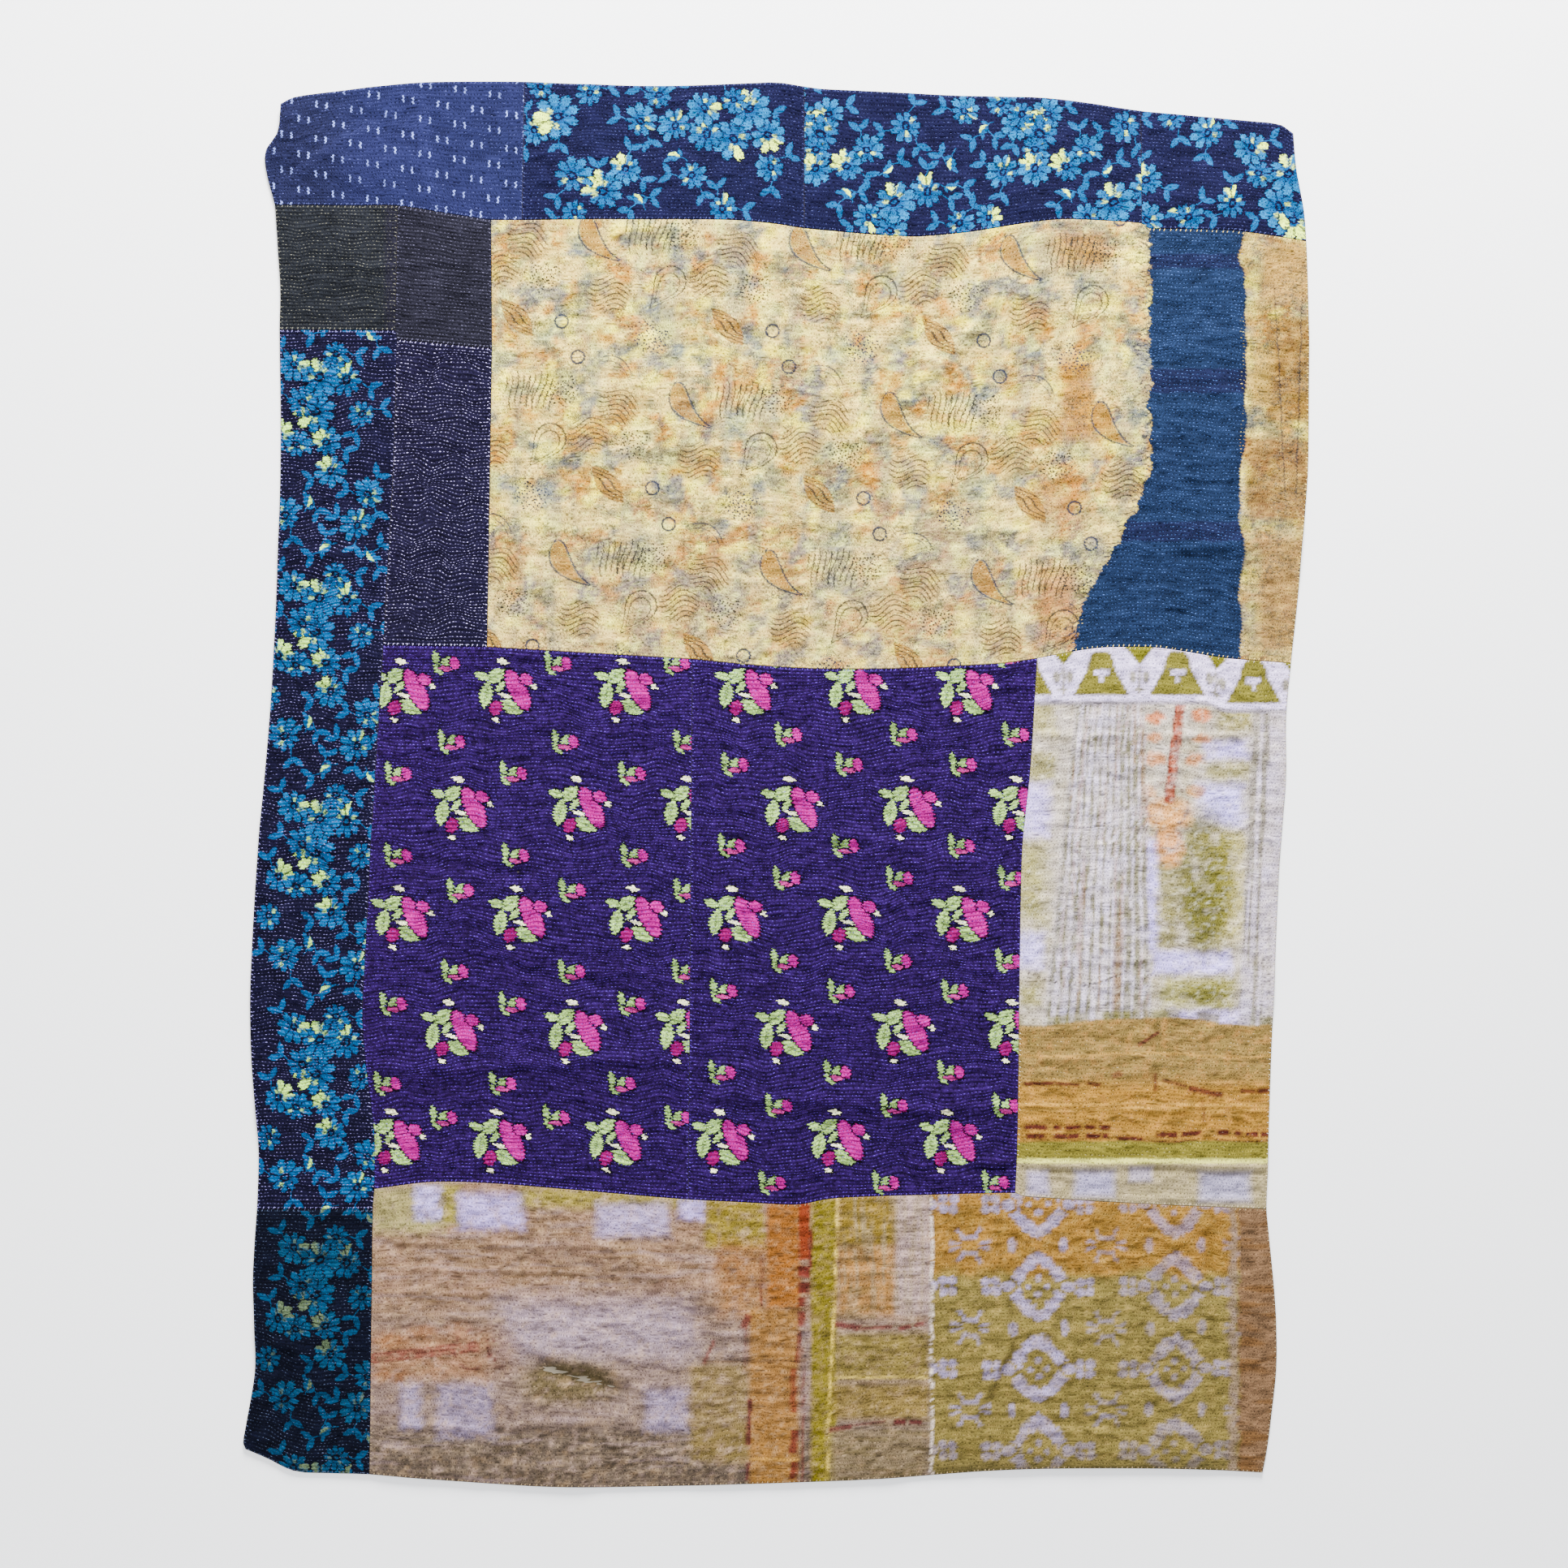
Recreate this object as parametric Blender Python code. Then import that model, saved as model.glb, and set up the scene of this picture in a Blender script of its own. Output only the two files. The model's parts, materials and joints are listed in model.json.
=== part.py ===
"""A kantha quilt lying open: fourteen used cloths joined edge to edge over a soft layered body.

Metres, +Z up. +X is the quilt's right and +Y its top, seen from above, with the face upwards.
The origin is under the middle of the quilt, on the surface that it lies on.
Places on the cloth are measured in millimetres, across from its left side and down from its top.
"""

from collections import namedtuple
from math import hypot

import bmesh
import bpy
from mathutils import Vector
from mathutils.geometry import delaunay_2d_cdt

MM = 0.001
QUILT_WIDTH = 1314 * MM
QUILT_LENGTH = 1733 * MM
BODY_THICKNESS = 2.4 * MM
FACE_THICKNESS = 1.0 * MM
PIECE_GAP = 0.3 * MM

# Spacing of the points that carry the folds, and how close two of them may come.
GRID_STEP = 52.0
LINE_STEP = 50.0
FOLD_STEP = 44.0
POINT_CLEARANCE = 15.0
LINE_CLEARANCE = 13.0

# The mesh of triangles keeps to the inside of the outlines, and joins points closer than this.
INSIDE_ONLY = 1
SAME_POINT = 1e-4

# Corners of the cloths and the points where their joins meet: (across, down).
PLACES = {
    "top_left": (47, 28),
    "top_b": (347, 0),
    "top_c": (692, 6),
    "top_d": (1107, 36),
    "top_right": (1295, 64),
    "right_b": (1311, 197),
    "right_c": (1292, 717),
    "right_d": (1262, 1390),
    "low_right": (1257, 1715),
    "low_left": (0, 1678),
    "left_d": (17, 1390),
    "left_c": (45, 306),
    "left_b": (39, 152),
    "black_top": (191, 154),
    "cream_top": (306, 171),
    "indigo_foot": (344, 171),
    "floral_b": (692, 181),
    "floral_c": (1108, 175),
    "black_foot": (188, 307),
    "navy_top": (190, 318),
    "navy_right": (307, 329),
    "navy_foot": (173, 695),
    "cream_foot": (301, 697),
    "purple_top": (554, 712),
    "purple_corner": (979, 711),
    "purple_low_right": (952, 1370),
    "purple_low_mid": (549, 1378),
    "purple_low_left": (162, 1365),
    "foot_top": (160, 1390),
    "foot_low": (156, 1717),
}

# Edges and joins that bend between two places, each with the points it passes: (across, down).
BENDS = {
    ("top_left", "top_b"): [(63, 20), (115, 12), (217, 1)],
    ("top_b", "top_c"): [(437, 4), (533, 5), (660, 1)],
    ("top_c", "top_d"): [(711, 9), (820, 14), (877, 17), (983, 20), (1046, 27)],
    ("top_d", "top_right"): [(1203, 45), (1279, 53)],
    ("top_right", "right_b"): [(1298, 108), (1308, 159)],
    ("right_b", "right_c"): [(1314, 299), (1313, 480), (1305, 574), (1301, 631)],
    ("right_c", "right_d"): [(1286, 784), (1286, 858), (1278, 964), (1271, 1120), (1266, 1251)],
    ("right_d", "low_right"): [(1268, 1453), (1274, 1536), (1274, 1587), (1263, 1683)],
    ("low_right", "foot_low"): [(1142, 1710), (951, 1711), (756, 1724), (437, 1733), (274, 1726)],
    ("foot_low", "low_left"): [(63, 1713), (29, 1697), (3, 1686)],
    ("low_left", "left_d"): [(4, 1654), (15, 1587), (12, 1479)],
    ("left_d", "left_c"): [(19, 1315), (11, 1219), (9, 1123), (17, 964), (36, 737), (46, 480)],
    ("left_c", "left_b"): [(46, 257)],
    ("left_b", "top_left"): [(28, 108), (28, 85), (43, 63)],
    ("indigo_foot", "floral_b"): [(437, 170), (609, 171)],
    ("floral_b", "floral_c"): [(756, 187), (836, 191), (899, 185), (1008, 170)],
    ("floral_c", "right_b"): [(1117, 181), (1222, 184)],
    ("navy_top", "navy_foot"): [(185, 480)],
    ("cream_foot", "purple_top"): [(437, 705)],
    ("purple_top", "purple_corner"): [(667, 722), (788, 724), (937, 717)],
    ("purple_corner", "right_c"): [(1046, 699), (1129, 698), (1206, 710)],
    ("navy_foot", "purple_low_left"): [(161, 886), (150, 1091), (148, 1171), (162, 1299)],
    ("purple_low_left", "purple_low_mid"): [(223, 1357), (306, 1358), (487, 1373)],
    ("purple_low_mid", "purple_low_right"): [(686, 1384), (724, 1377), (842, 1372)],
    ("purple_corner", "purple_low_right"): [(970, 855), (961, 940), (958, 1059), (955, 1283)],
    ("purple_low_right", "right_d"): [(962, 1374), (1102, 1383)],
}

# One cloth a row: its object's name, the places round it clockwise, and its colour and roughness.
Cloth = namedtuple("Cloth", "name places colour roughness")
CLOTHS = [
    Cloth("face_indigo", "top_left top_b indigo_foot cream_top black_top left_b", (0.03, 0.035, 0.16), 0.85),
    Cloth("face_black_left", "left_b black_top black_foot left_c", (0.02, 0.02, 0.025), 0.85),
    Cloth(
        "face_black_right",
        "black_top cream_top navy_right navy_top black_foot",
        (0.02, 0.018, 0.03),
        0.85,
    ),
    Cloth("face_navy", "navy_top navy_right cream_foot navy_foot", (0.03, 0.025, 0.08), 0.85),
    Cloth("face_floral_top_left", "top_b top_c floral_b indigo_foot", (0.01, 0.2, 0.35), 0.8),
    Cloth("face_floral_top_mid", "top_c top_d floral_c floral_b", (0.01, 0.2, 0.35), 0.8),
    Cloth("face_floral_top_right", "top_d top_right right_b floral_c", (0.01, 0.17, 0.32), 0.8),
    Cloth(
        "face_floral_side",
        "left_c black_foot navy_top navy_foot purple_low_left foot_top left_d",
        (0.01, 0.14, 0.25),
        0.8,
    ),
    Cloth("face_floral_foot", "left_d foot_top foot_low low_left", (0.01, 0.1, 0.16), 0.8),
    Cloth(
        "face_paisley",
        "cream_top indigo_foot floral_b floral_c right_b right_c "
        "purple_corner purple_top cream_foot navy_right",
        (0.72, 0.55, 0.3),
        0.9,
    ),
    Cloth(
        "face_purple_left",
        "navy_foot cream_foot purple_top purple_low_mid purple_low_left",
        (0.06, 0.015, 0.2),
        0.85,
    ),
    Cloth(
        "face_purple_right",
        "purple_top purple_corner purple_low_right purple_low_mid",
        (0.06, 0.015, 0.2),
        0.85,
    ),
    Cloth("face_print_right", "purple_corner right_c right_d purple_low_right", (0.66, 0.6, 0.5), 0.9),
    Cloth(
        "face_print_low",
        "purple_low_left purple_low_mid purple_low_right right_d low_right foot_low foot_top",
        (0.55, 0.4, 0.2),
        0.9,
    ),
]
BODY = Cloth(
    "quilt_body",
    "top_left top_b top_c top_d top_right right_b right_c right_d "
    "low_right foot_low low_left left_d left_c left_b",
    (0.5, 0.47, 0.42),
    0.95,
)

# One fold a row: a soft ridge along a line, or a trough where the height is negative.
Fold = namedtuple("Fold", "across_1 down_1 across_2 down_2 half_width height")
FOLDS = [
    Fold(660, 735, 665, 1366, 30, 3.6),
    Fold(856, 735, 850, 1358, 28, 3.2),
    Fold(925, 262, 842, 372, 28, 5.5),
    Fold(842, 372, 700, 468, 28, 4.5),
    Fold(946, 1530, 892, 1655, 26, 5.5),
    Fold(347, 1584, 452, 1618, 42, -5.0),
    Fold(430, 1428, 575, 1502, 36, 4.5),
    Fold(10, 932, 156, 938, 22, 3.4),
    Fold(14, 1278, 160, 1280, 22, 3.2),
    Fold(956, 1326, 1264, 1337, 20, 3.4),
    Fold(980, 806, 1284, 813, 20, 2.6),
    Fold(157, 1216, 540, 1204, 32, 3.4),
    Fold(600, 1248, 950, 1262, 32, 3.6),
    Fold(770, 945, 880, 982, 36, 4.4),
    Fold(150, 1694, 420, 1708, 28, 4.2),
    Fold(560, 1702, 800, 1698, 26, 3.6),
    Fold(930, 1688, 1160, 1684, 28, 3.8),
    Fold(62, 50, 190, 132, 46, 5.0),
    Fold(230, 148, 330, 152, 30, 3.2),
    Fold(425, 6, 418, 150, 40, 3.4),
    Fold(735, 12, 728, 165, 40, 3.8),
    Fold(1010, 26, 975, 160, 44, 4.2),
    Fold(1170, 150, 1306, 112, 40, 4.0),
    Fold(1180, 560, 1306, 584, 40, 5.0),
    Fold(1190, 330, 1312, 322, 34, 3.4),
    Fold(1180, 1120, 1270, 1126, 34, 3.6),
    Fold(1180, 1520, 1272, 1500, 32, 3.6),
    Fold(44, 560, 130, 600, 34, 3.6),
    Fold(22, 1120, 120, 1096, 30, 3.2),
    Fold(6, 1560, 110, 1530, 36, 4.2),
]

# One broad rise a row, as wide and as long as its two radii.
Rise = namedtuple("Rise", "across down radius_across radius_down height")
RISES = [
    Rise(165, 235, 150, 100, 3.6),
    Rise(560, 440, 230, 170, 4.6),
    Rise(1130, 420, 170, 240, 5.0),
    Rise(330, 1010, 170, 150, 4.0),
    Rise(770, 1120, 150, 180, 4.2),
    Rise(1110, 1010, 140, 170, 4.4),
    Rise(385, 1590, 220, 110, 7.0),
    Rise(1030, 1570, 200, 110, 5.0),
    Rise(95, 720, 70, 210, 3.0),
    Rise(90, 1570, 80, 110, 3.6),
]


def smooth_line(start, end):
    """The points from one place to another, both included, on a smooth curve through the bend."""
    if (end, start) in BENDS:
        return smooth_line(end, start)[::-1]
    stops = [PLACES[start], *BENDS.get((start, end), []), PLACES[end]]
    points = [Vector(stop) for stop in stops]
    line = []
    for i in range(len(points) - 1):
        here, there = points[i], points[i + 1]
        before = points[i - 1] if i else 2 * here - there
        after = points[i + 2] if i + 2 < len(points) else 2 * there - here
        parts = max(1, round((there - here).length / LINE_STEP))
        for k in range(parts):
            t = k / parts
            bend = 2 * before - 5 * here + 4 * there - after
            twist = 3 * here - before - 3 * there + after
            line.append(here + 0.5 * (t * (there - before) + t * t * bend + t**3 * twist))
    line.append(points[-1])
    return line


def outline(cloth):
    """The closed outline of a cloth, clockwise, with the join points that it shares."""
    names = cloth.places.split()
    loop = []
    for start, end in zip(names, names[1:] + names[:1]):
        loop += smooth_line(start, end)[:-1]
    return loop


def fade(share):
    """One at the middle of a fold, falling smoothly to nothing at its edge."""
    return max(0.0, 1.0 - share * share) ** 2


def distance_to_line(point, start, end):
    """How far a point is from a line between two points."""
    run = end - start
    along = (point - start).dot(run) / max(run.length_squared, 1e-9)
    return (point - start - min(1.0, max(0.0, along)) * run).length


def lift(point):
    """How high the underside is above the surface at a point, in metres."""
    height = 0.0
    for fold in FOLDS:
        start = Vector((fold.across_1, fold.down_1))
        end = Vector((fold.across_2, fold.down_2))
        height += fold.height * fade(distance_to_line(point, start, end) / fold.half_width)
    for rise in RISES:
        across = (point.x - rise.across) / rise.radius_across
        down = (point.y - rise.down) / rise.radius_down
        height += rise.height * fade(hypot(across, down))
    return max(0.0, height) * MM


def fold_points():
    """Points along the crest of each fold, and along both of its feet."""
    points = []
    for fold in FOLDS:
        start = Vector((fold.across_1, fold.down_1))
        run = Vector((fold.across_2, fold.down_2)) - start
        side = Vector((-run.y, run.x)).normalized() * fold.half_width
        parts = max(1, round(run.length / FOLD_STEP))
        for offset in (0, -1, 1):
            points += [start + run * (k / parts) + side * offset for k in range(parts + 1)]
    return points


def grid_points():
    """Points spread evenly over the cloth, every second row shifted by half a step."""
    rows = int(QUILT_LENGTH / MM / GRID_STEP) + 1
    columns = int(QUILT_WIDTH / MM / GRID_STEP) + 1
    return [
        Vector(((column + 0.5 * (row % 2)) * GRID_STEP, row * GRID_STEP))
        for row in range(rows)
        for column in range(columns)
    ]


def triangles_of_cloths():
    """The cloth's points, its triangles by cloth, and each cloth's outline as point numbers."""
    points, numbers, loops = [], {}, []
    for cloth in CLOTHS:
        loop = []
        for point in outline(cloth):
            key = (round(point.x, 2), round(point.y, 2))
            if key not in numbers:
                numbers[key] = len(points)
                points.append(point)
            loop.append(numbers[key])
        loops.append(loop)
    lines = [(points[a], points[b]) for loop in loops for a, b in zip(loop, loop[1:] + loop[:1])]
    inner = []
    for point in fold_points() + grid_points():
        if any((point - other).length < POINT_CLEARANCE for other in inner):
            continue
        if any(distance_to_line(point, *line) < LINE_CLEARANCE for line in lines):
            continue
        inner.append(point)
    made = delaunay_2d_cdt(points + inner, [], loops, INSIDE_ONLY, SAME_POINT)
    mesh_points, _, faces, old_numbers, _, source_loops = made
    triangles = [[] for _ in CLOTHS]
    for face, sources in zip(faces, source_loops):
        triangles[sources[0]].append(face)
    new_number = {old: new for new, olds in enumerate(old_numbers) for old in olds}
    loops = [[new_number[number] for number in loop] for loop in loops]
    return mesh_points, triangles, loops


def drawn_in(points, loop, distance):
    """Where the points of a clockwise outline go when it is drawn in by a distance."""
    places = {}
    for i, number in enumerate(loop):
        before, here, after = points[loop[i - 1]], points[number], points[loop[(i + 1) % len(loop)]]
        into, out = (here - before).normalized(), (after - here).normalized()
        inward = Vector((-into.y, into.x)) + Vector((-out.y, out.x))
        places[number] = here + inward * (2 * distance / inward.length_squared)
    return places


def cloth_material(cloth):
    """A plain cloth finish in the cloth's main colour."""
    material = bpy.data.materials.new(cloth.name)
    material.use_nodes = True
    shader = material.node_tree.nodes["Principled BSDF"]
    shader.inputs["Base Color"].default_value = (*cloth.colour, 1.0)
    shader.inputs["Roughness"].default_value = cloth.roughness
    shader.inputs["Metallic"].default_value = 0.0
    return material


def middle(points):
    """The middle of the box round some points."""
    across = [point.x for point in points]
    down = [point.y for point in points]
    return Vector((min(across) + max(across), min(down) + max(down))) / 2


def make_cloth(cloth, points, triangles, places, height, thickness):
    """One closed sheet over the given triangles, its underside a height above the folds."""
    form = bmesh.new()
    centre = middle(points)
    corners = {}
    for number in sorted({n for face in triangles for n in face}):
        flat = (places.get(number, points[number]) - centre) * MM
        corners[number] = form.verts.new((flat.x, -flat.y, lift(points[number]) + height))
    for face in triangles:
        form.faces.new([corners[number] for number in face])
    raised = bmesh.ops.extrude_face_region(form, geom=form.faces[:])["geom"]
    tops = [part for part in raised if isinstance(part, bmesh.types.BMVert)]
    bmesh.ops.translate(form, verts=tops, vec=(0, 0, thickness))
    bmesh.ops.recalc_face_normals(form, faces=form.faces[:])
    mesh = bpy.data.meshes.new(cloth.name)
    form.to_mesh(mesh)
    form.free()
    mesh.materials.append(cloth_material(cloth))
    piece = bpy.data.objects.new(cloth.name, mesh)
    bpy.context.scene.collection.objects.link(piece)
    return piece


def make_quilt():
    """The layered body, and each face cloth a piece gap above it and beside its neighbours."""
    points, triangles, loops = triangles_of_cloths()
    every_triangle = [face for faces in triangles for face in faces]
    make_cloth(BODY, points, every_triangle, {}, 0.0, BODY_THICKNESS)
    for cloth, faces, loop in zip(CLOTHS, triangles, loops):
        places = drawn_in(points, loop, PIECE_GAP / 2 / MM)
        make_cloth(cloth, points, faces, places, BODY_THICKNESS + PIECE_GAP, FACE_THICKNESS)


for old in list(bpy.data.objects):
    bpy.data.objects.remove(old, do_unlink=True)
make_quilt()
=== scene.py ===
"""Looks of the kantha quilt: its fourteen used cloths with their prints, the rows of running stitch, the
stitches over the seams and rim, and the back cloth. Each cloth is a thin sheet on the folds of its CAD
solid. Places in the tables are in mm, across from the left of the view and down from its top, with the
quilt's middle at MIDDLE_ACROSS, MIDDLE_DOWN.
"""

import json
import math
from collections import namedtuple

import bpy
import numpy as np
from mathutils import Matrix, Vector


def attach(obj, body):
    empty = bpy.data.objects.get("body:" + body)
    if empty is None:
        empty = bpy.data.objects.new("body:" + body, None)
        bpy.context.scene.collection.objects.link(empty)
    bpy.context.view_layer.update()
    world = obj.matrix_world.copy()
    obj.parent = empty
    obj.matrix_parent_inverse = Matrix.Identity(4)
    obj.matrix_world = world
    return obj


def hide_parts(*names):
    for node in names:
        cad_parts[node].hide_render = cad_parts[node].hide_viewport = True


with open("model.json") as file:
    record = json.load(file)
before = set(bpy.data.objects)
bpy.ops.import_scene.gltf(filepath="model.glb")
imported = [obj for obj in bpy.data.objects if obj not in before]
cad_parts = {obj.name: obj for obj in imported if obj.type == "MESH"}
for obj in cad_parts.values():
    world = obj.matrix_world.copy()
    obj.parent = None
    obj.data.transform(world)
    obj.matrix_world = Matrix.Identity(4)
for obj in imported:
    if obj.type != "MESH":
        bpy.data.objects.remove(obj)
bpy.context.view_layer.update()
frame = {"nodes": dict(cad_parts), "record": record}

# Lengths in mm. The face and the body are as high as that over the quilt's underside.
MIDDLE_ACROSS = 960.0
MIDDLE_DOWN = 966.5
FACE_HEIGHT = 3.7
BODY_HEIGHT = 2.4
ROW_PITCH = 4.3
STITCH_PITCH = 4.6
STITCH_LENGTH = 3.0
STITCH_WIDTH = 1.2
STITCH_HEIGHT = 0.35
VALLEY = -0.42
RIDGE = 0.36
SEAM_DROP = 0.9
RIM_DROP = 2.0
WAVE_FADE = 28.0
WHIP_PITCH = 6.5
WHIP_LENGTH = 3.6
WHIP_INSET = 1.7
CREASE_END = 40
BACK_WIDTH = 1300
BACK_LENGTH = 1730
BACK_GAP = 0.2
BACK_TURN = 2.4
BACK_RISE = 1.9
# How much higher the creases are than their table says.
CREASE_SHARE = 1.5


def grain(x, y, size, seed):
    """Soft noise between about -1 and 1 at places in mm."""
    u, v = np.asarray(x, float) / size, np.asarray(y, float) / size
    i, j = np.floor(u), np.floor(v)
    fu, fv = u - i, v - j

    def corner(di, dj):
        turn = np.sin((i + di) * 127.1 + (j + dj) * 311.7 + seed * 74.7) * 43758.5453
        turn = (turn - np.floor(turn)) * 2 * math.pi
        return np.cos(turn) * (fu - di) + np.sin(turn) * (fv - dj)

    su = fu**3 * (fu * (fu * 6 - 15) + 10)
    sv = fv**3 * (fv * (fv * 6 - 15) + 10)
    low = corner(0, 0) * (1 - su) + corner(1, 0) * su
    high = corner(0, 1) * (1 - su) + corner(1, 1) * su
    return (low * (1 - sv) + high * sv) * 1.5


def chance(*numbers):
    """An even random number from 0 to 1 for each row of numbers."""
    total = sum(np.asarray(n, float) * k for n, k in zip(numbers, (12.9898, 78.233, 37.719, 9.151)))
    spread = np.sin(total) * 43758.5453
    return spread - np.floor(spread)


def node_mesh(name):
    """Points in mm and triangles of a CAD node, with doubled points joined."""
    mesh = frame["nodes"][name].data
    points = np.empty(len(mesh.vertices) * 3)
    mesh.vertices.foreach_get("co", points)
    points = points.reshape(-1, 3) * 1000
    mesh.calc_loop_triangles()
    triangles = np.empty(len(mesh.loop_triangles) * 3, int)
    mesh.loop_triangles.foreach_get("vertices", triangles)
    keys, index = np.unique(np.round(points, 2), axis=0, return_inverse=True)
    return keys, index.ravel()[triangles].reshape(-1, 3)


def upward(points, triangles):
    """The triangles that face up."""
    a, b, c = (points[triangles[:, k]] for k in range(3))
    normal = np.cross(b - a, c - a)
    normal /= np.maximum(np.linalg.norm(normal, axis=1), 1e-9)[:, None]
    return triangles[normal[:, 2] > 0.4]


def rim_loop(points, triangles):
    """The closed outline of some triangles, as points in order."""
    pairs = np.concatenate([triangles[:, [0, 1]], triangles[:, [1, 2]], triangles[:, [2, 0]]])
    both = set(map(tuple, pairs.tolist()))
    following = {a: b for a, b in both if (b, a) not in both}
    start = min(following)
    loop = [start]
    while following[loop[-1]] != start:
        loop.append(following[loop[-1]])
    return points[loop][:, :2]


class Lift:
    """Height of the quilt's underside over the floor, smoothed, for any place."""

    STEP = 5.0

    def __init__(self, name):
        points, triangles = node_mesh(name)
        top = upward(points, triangles)
        self.loop = rim_loop(points, top)
        self.low = points[:, :2].min(axis=0) - 40
        count = np.ceil((points[:, :2].max(axis=0) + 40 - self.low) / self.STEP).astype(int) + 1
        height = np.zeros(count)
        weight = np.zeros(count)
        for a, b, c in points[top]:
            self.fill(height, weight, a, b, c)
        self.height = self.soften(height) / np.maximum(self.soften(weight), 1e-6) - BODY_HEIGHT

    def fill(self, height, weight, a, b, c):
        """Writes one triangle's heights into the grid."""
        three = np.array([a, b, c])
        first = np.floor((three[:, :2].min(axis=0) - self.low) / self.STEP).astype(int)
        last = np.ceil((three[:, :2].max(axis=0) - self.low) / self.STEP).astype(int) + 1
        i, j = np.meshgrid(np.arange(first[0], last[0]), np.arange(first[1], last[1]), indexing="ij")
        x = self.low[0] + i * self.STEP
        y = self.low[1] + j * self.STEP
        area = (b[0] - a[0]) * (c[1] - a[1]) - (c[0] - a[0]) * (b[1] - a[1])
        if abs(area) < 1e-6:
            return
        share_b = ((x - a[0]) * (c[1] - a[1]) - (c[0] - a[0]) * (y - a[1])) / area
        share_c = ((b[0] - a[0]) * (y - a[1]) - (x - a[0]) * (b[1] - a[1])) / area
        share_a = 1 - share_b - share_c
        inside = (share_a >= -1e-6) & (share_b >= -1e-6) & (share_c >= -1e-6)
        z = share_a * a[2] + share_b * b[2] + share_c * c[2]
        height[i[inside], j[inside]] = z[inside]
        weight[i[inside], j[inside]] = 1

    def soften(self, grid):
        """A grid with each value spread over those round it."""
        taps = np.exp(-0.5 * (np.arange(-7, 8) / 2.2) ** 2)
        taps /= taps.sum()
        for axis in (0, 1):
            grid = sum(t * np.roll(grid, k, axis) for k, t in zip(range(-7, 8), taps))
        return grid

    def at(self, x, y):
        """Heights at places in mm."""
        u = np.clip((x - self.low[0]) / self.STEP, 0, self.height.shape[0] - 1.001)
        v = np.clip((y - self.low[1]) / self.STEP, 0, self.height.shape[1] - 1.001)
        i, j = u.astype(int), v.astype(int)
        fu, fv = u - i, v - j
        g = self.height
        low = g[i, j] * (1 - fu) + g[i + 1, j] * fu
        high = g[i, j + 1] * (1 - fu) + g[i + 1, j + 1] * fu
        return np.maximum(low * (1 - fv) + high * fv, 0.0)


lift = Lift("quilt_body")


def distance_to_loop(x, y, loop):
    """Distance in mm from places to a closed outline."""
    best = np.full(x.shape, 1e9)
    ends = np.roll(loop, -1, axis=0)
    for (ax, ay), (bx, by) in zip(loop, ends):
        dx, dy = bx - ax, by - ay
        along = np.clip(((x - ax) * dx + (y - ay) * dy) / max(dx * dx + dy * dy, 1e-9), 0, 1)
        best = np.minimum(best, np.hypot(x - ax - along * dx, y - ay - along * dy))
    return best


def add_mesh(name, points, faces, materials, smooth=True):
    """A mesh object from points in mm and an array of equal-sided faces."""
    mesh = bpy.data.meshes.new(name)
    sides = faces.shape[1]
    mesh.vertices.add(len(points))
    mesh.vertices.foreach_set("co", (np.asarray(points) / 1000).astype(np.float32).ravel())
    mesh.loops.add(faces.size)
    mesh.loops.foreach_set("vertex_index", faces.astype(np.int32).ravel())
    mesh.polygons.add(len(faces))
    mesh.polygons.foreach_set("loop_start", np.arange(0, faces.size, sides, dtype=np.int32))
    mesh.polygons.foreach_set("loop_total", np.full(len(faces), sides, dtype=np.int32))
    for material in materials:
        mesh.materials.append(material)
    mesh.polygons.foreach_set("use_smooth", np.full(len(faces), smooth))
    mesh.update(calc_edges=True)
    made = bpy.data.objects.new(name, mesh)
    bpy.context.collection.objects.link(made)
    return made


def add_uv(made, name, values):
    """values has one pair for each corner of each face."""
    layer = made.data.uv_layers.new(name=name)
    layer.data.foreach_set("uv", np.asarray(values, dtype=np.float32).ravel())


def add_tone(made, colours):
    """A colour for each point."""
    layer = made.data.color_attributes.new(name="tone", type="FLOAT_COLOR", domain="POINT")
    four = np.concatenate([colours, np.ones((len(colours), 1))], axis=1)
    layer.data.foreach_set("color", four.astype(np.float32).ravel())


def resample(side, shares):
    """A side's points at given shares of its length, on a smooth line through its corners."""
    gaps = np.hypot(*np.diff(side, axis=0).T)
    at = np.concatenate([[0], np.cumsum(gaps)]) / gaps.sum()
    where = np.clip(np.searchsorted(at, shares, side="right") - 1, 0, len(at) - 2)
    f = ((shares - at[where]) / (at[where + 1] - at[where]))[:, None]
    before = np.clip(where - 1, 0, None)
    after = np.clip(where + 2, None, len(at) - 1)
    p0, p1, p2, p3 = side[before], side[where], side[where + 1], side[after]
    wide = (at[where + 1] - at[where])[:, None]
    slope1 = (p2 - p0) / np.maximum(at[where + 1] - at[before], 1e-9)[:, None] * wide
    slope2 = (p3 - p1) / np.maximum(at[after] - at[where], 1e-9)[:, None] * wide
    h1 = 2 * f**3 - 3 * f**2 + 1
    h2 = f**3 - 2 * f**2 + f
    h3 = -2 * f**3 + 3 * f**2
    h4 = f**3 - f**2
    return h1 * p1 + h2 * slope1 + h3 * p2 + h4 * slope2


def four_sides(loop):
    """Bottom, right, top and left sides of an outline, each from its left or bottom end."""
    x, y = loop.T
    corners = [np.argmin(x + y), np.argmax(x - y), np.argmax(x + y), np.argmin(x - y)]
    rising = sum(1 for a, b in zip(corners, corners[1:] + corners[:1]) if b > a)
    if rising < 3:
        loop = loop[::-1]
        corners = [len(loop) - 1 - c for c in corners]
    sides = []
    for a, b in zip(corners, corners[1:] + corners[:1]):
        last = b if b >= a else b + len(loop)
        sides.append(loop[np.arange(a, last + 1) % len(loop)])
    bottom, right, top, left = sides
    return bottom, right, top[::-1], left[::-1]


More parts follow.
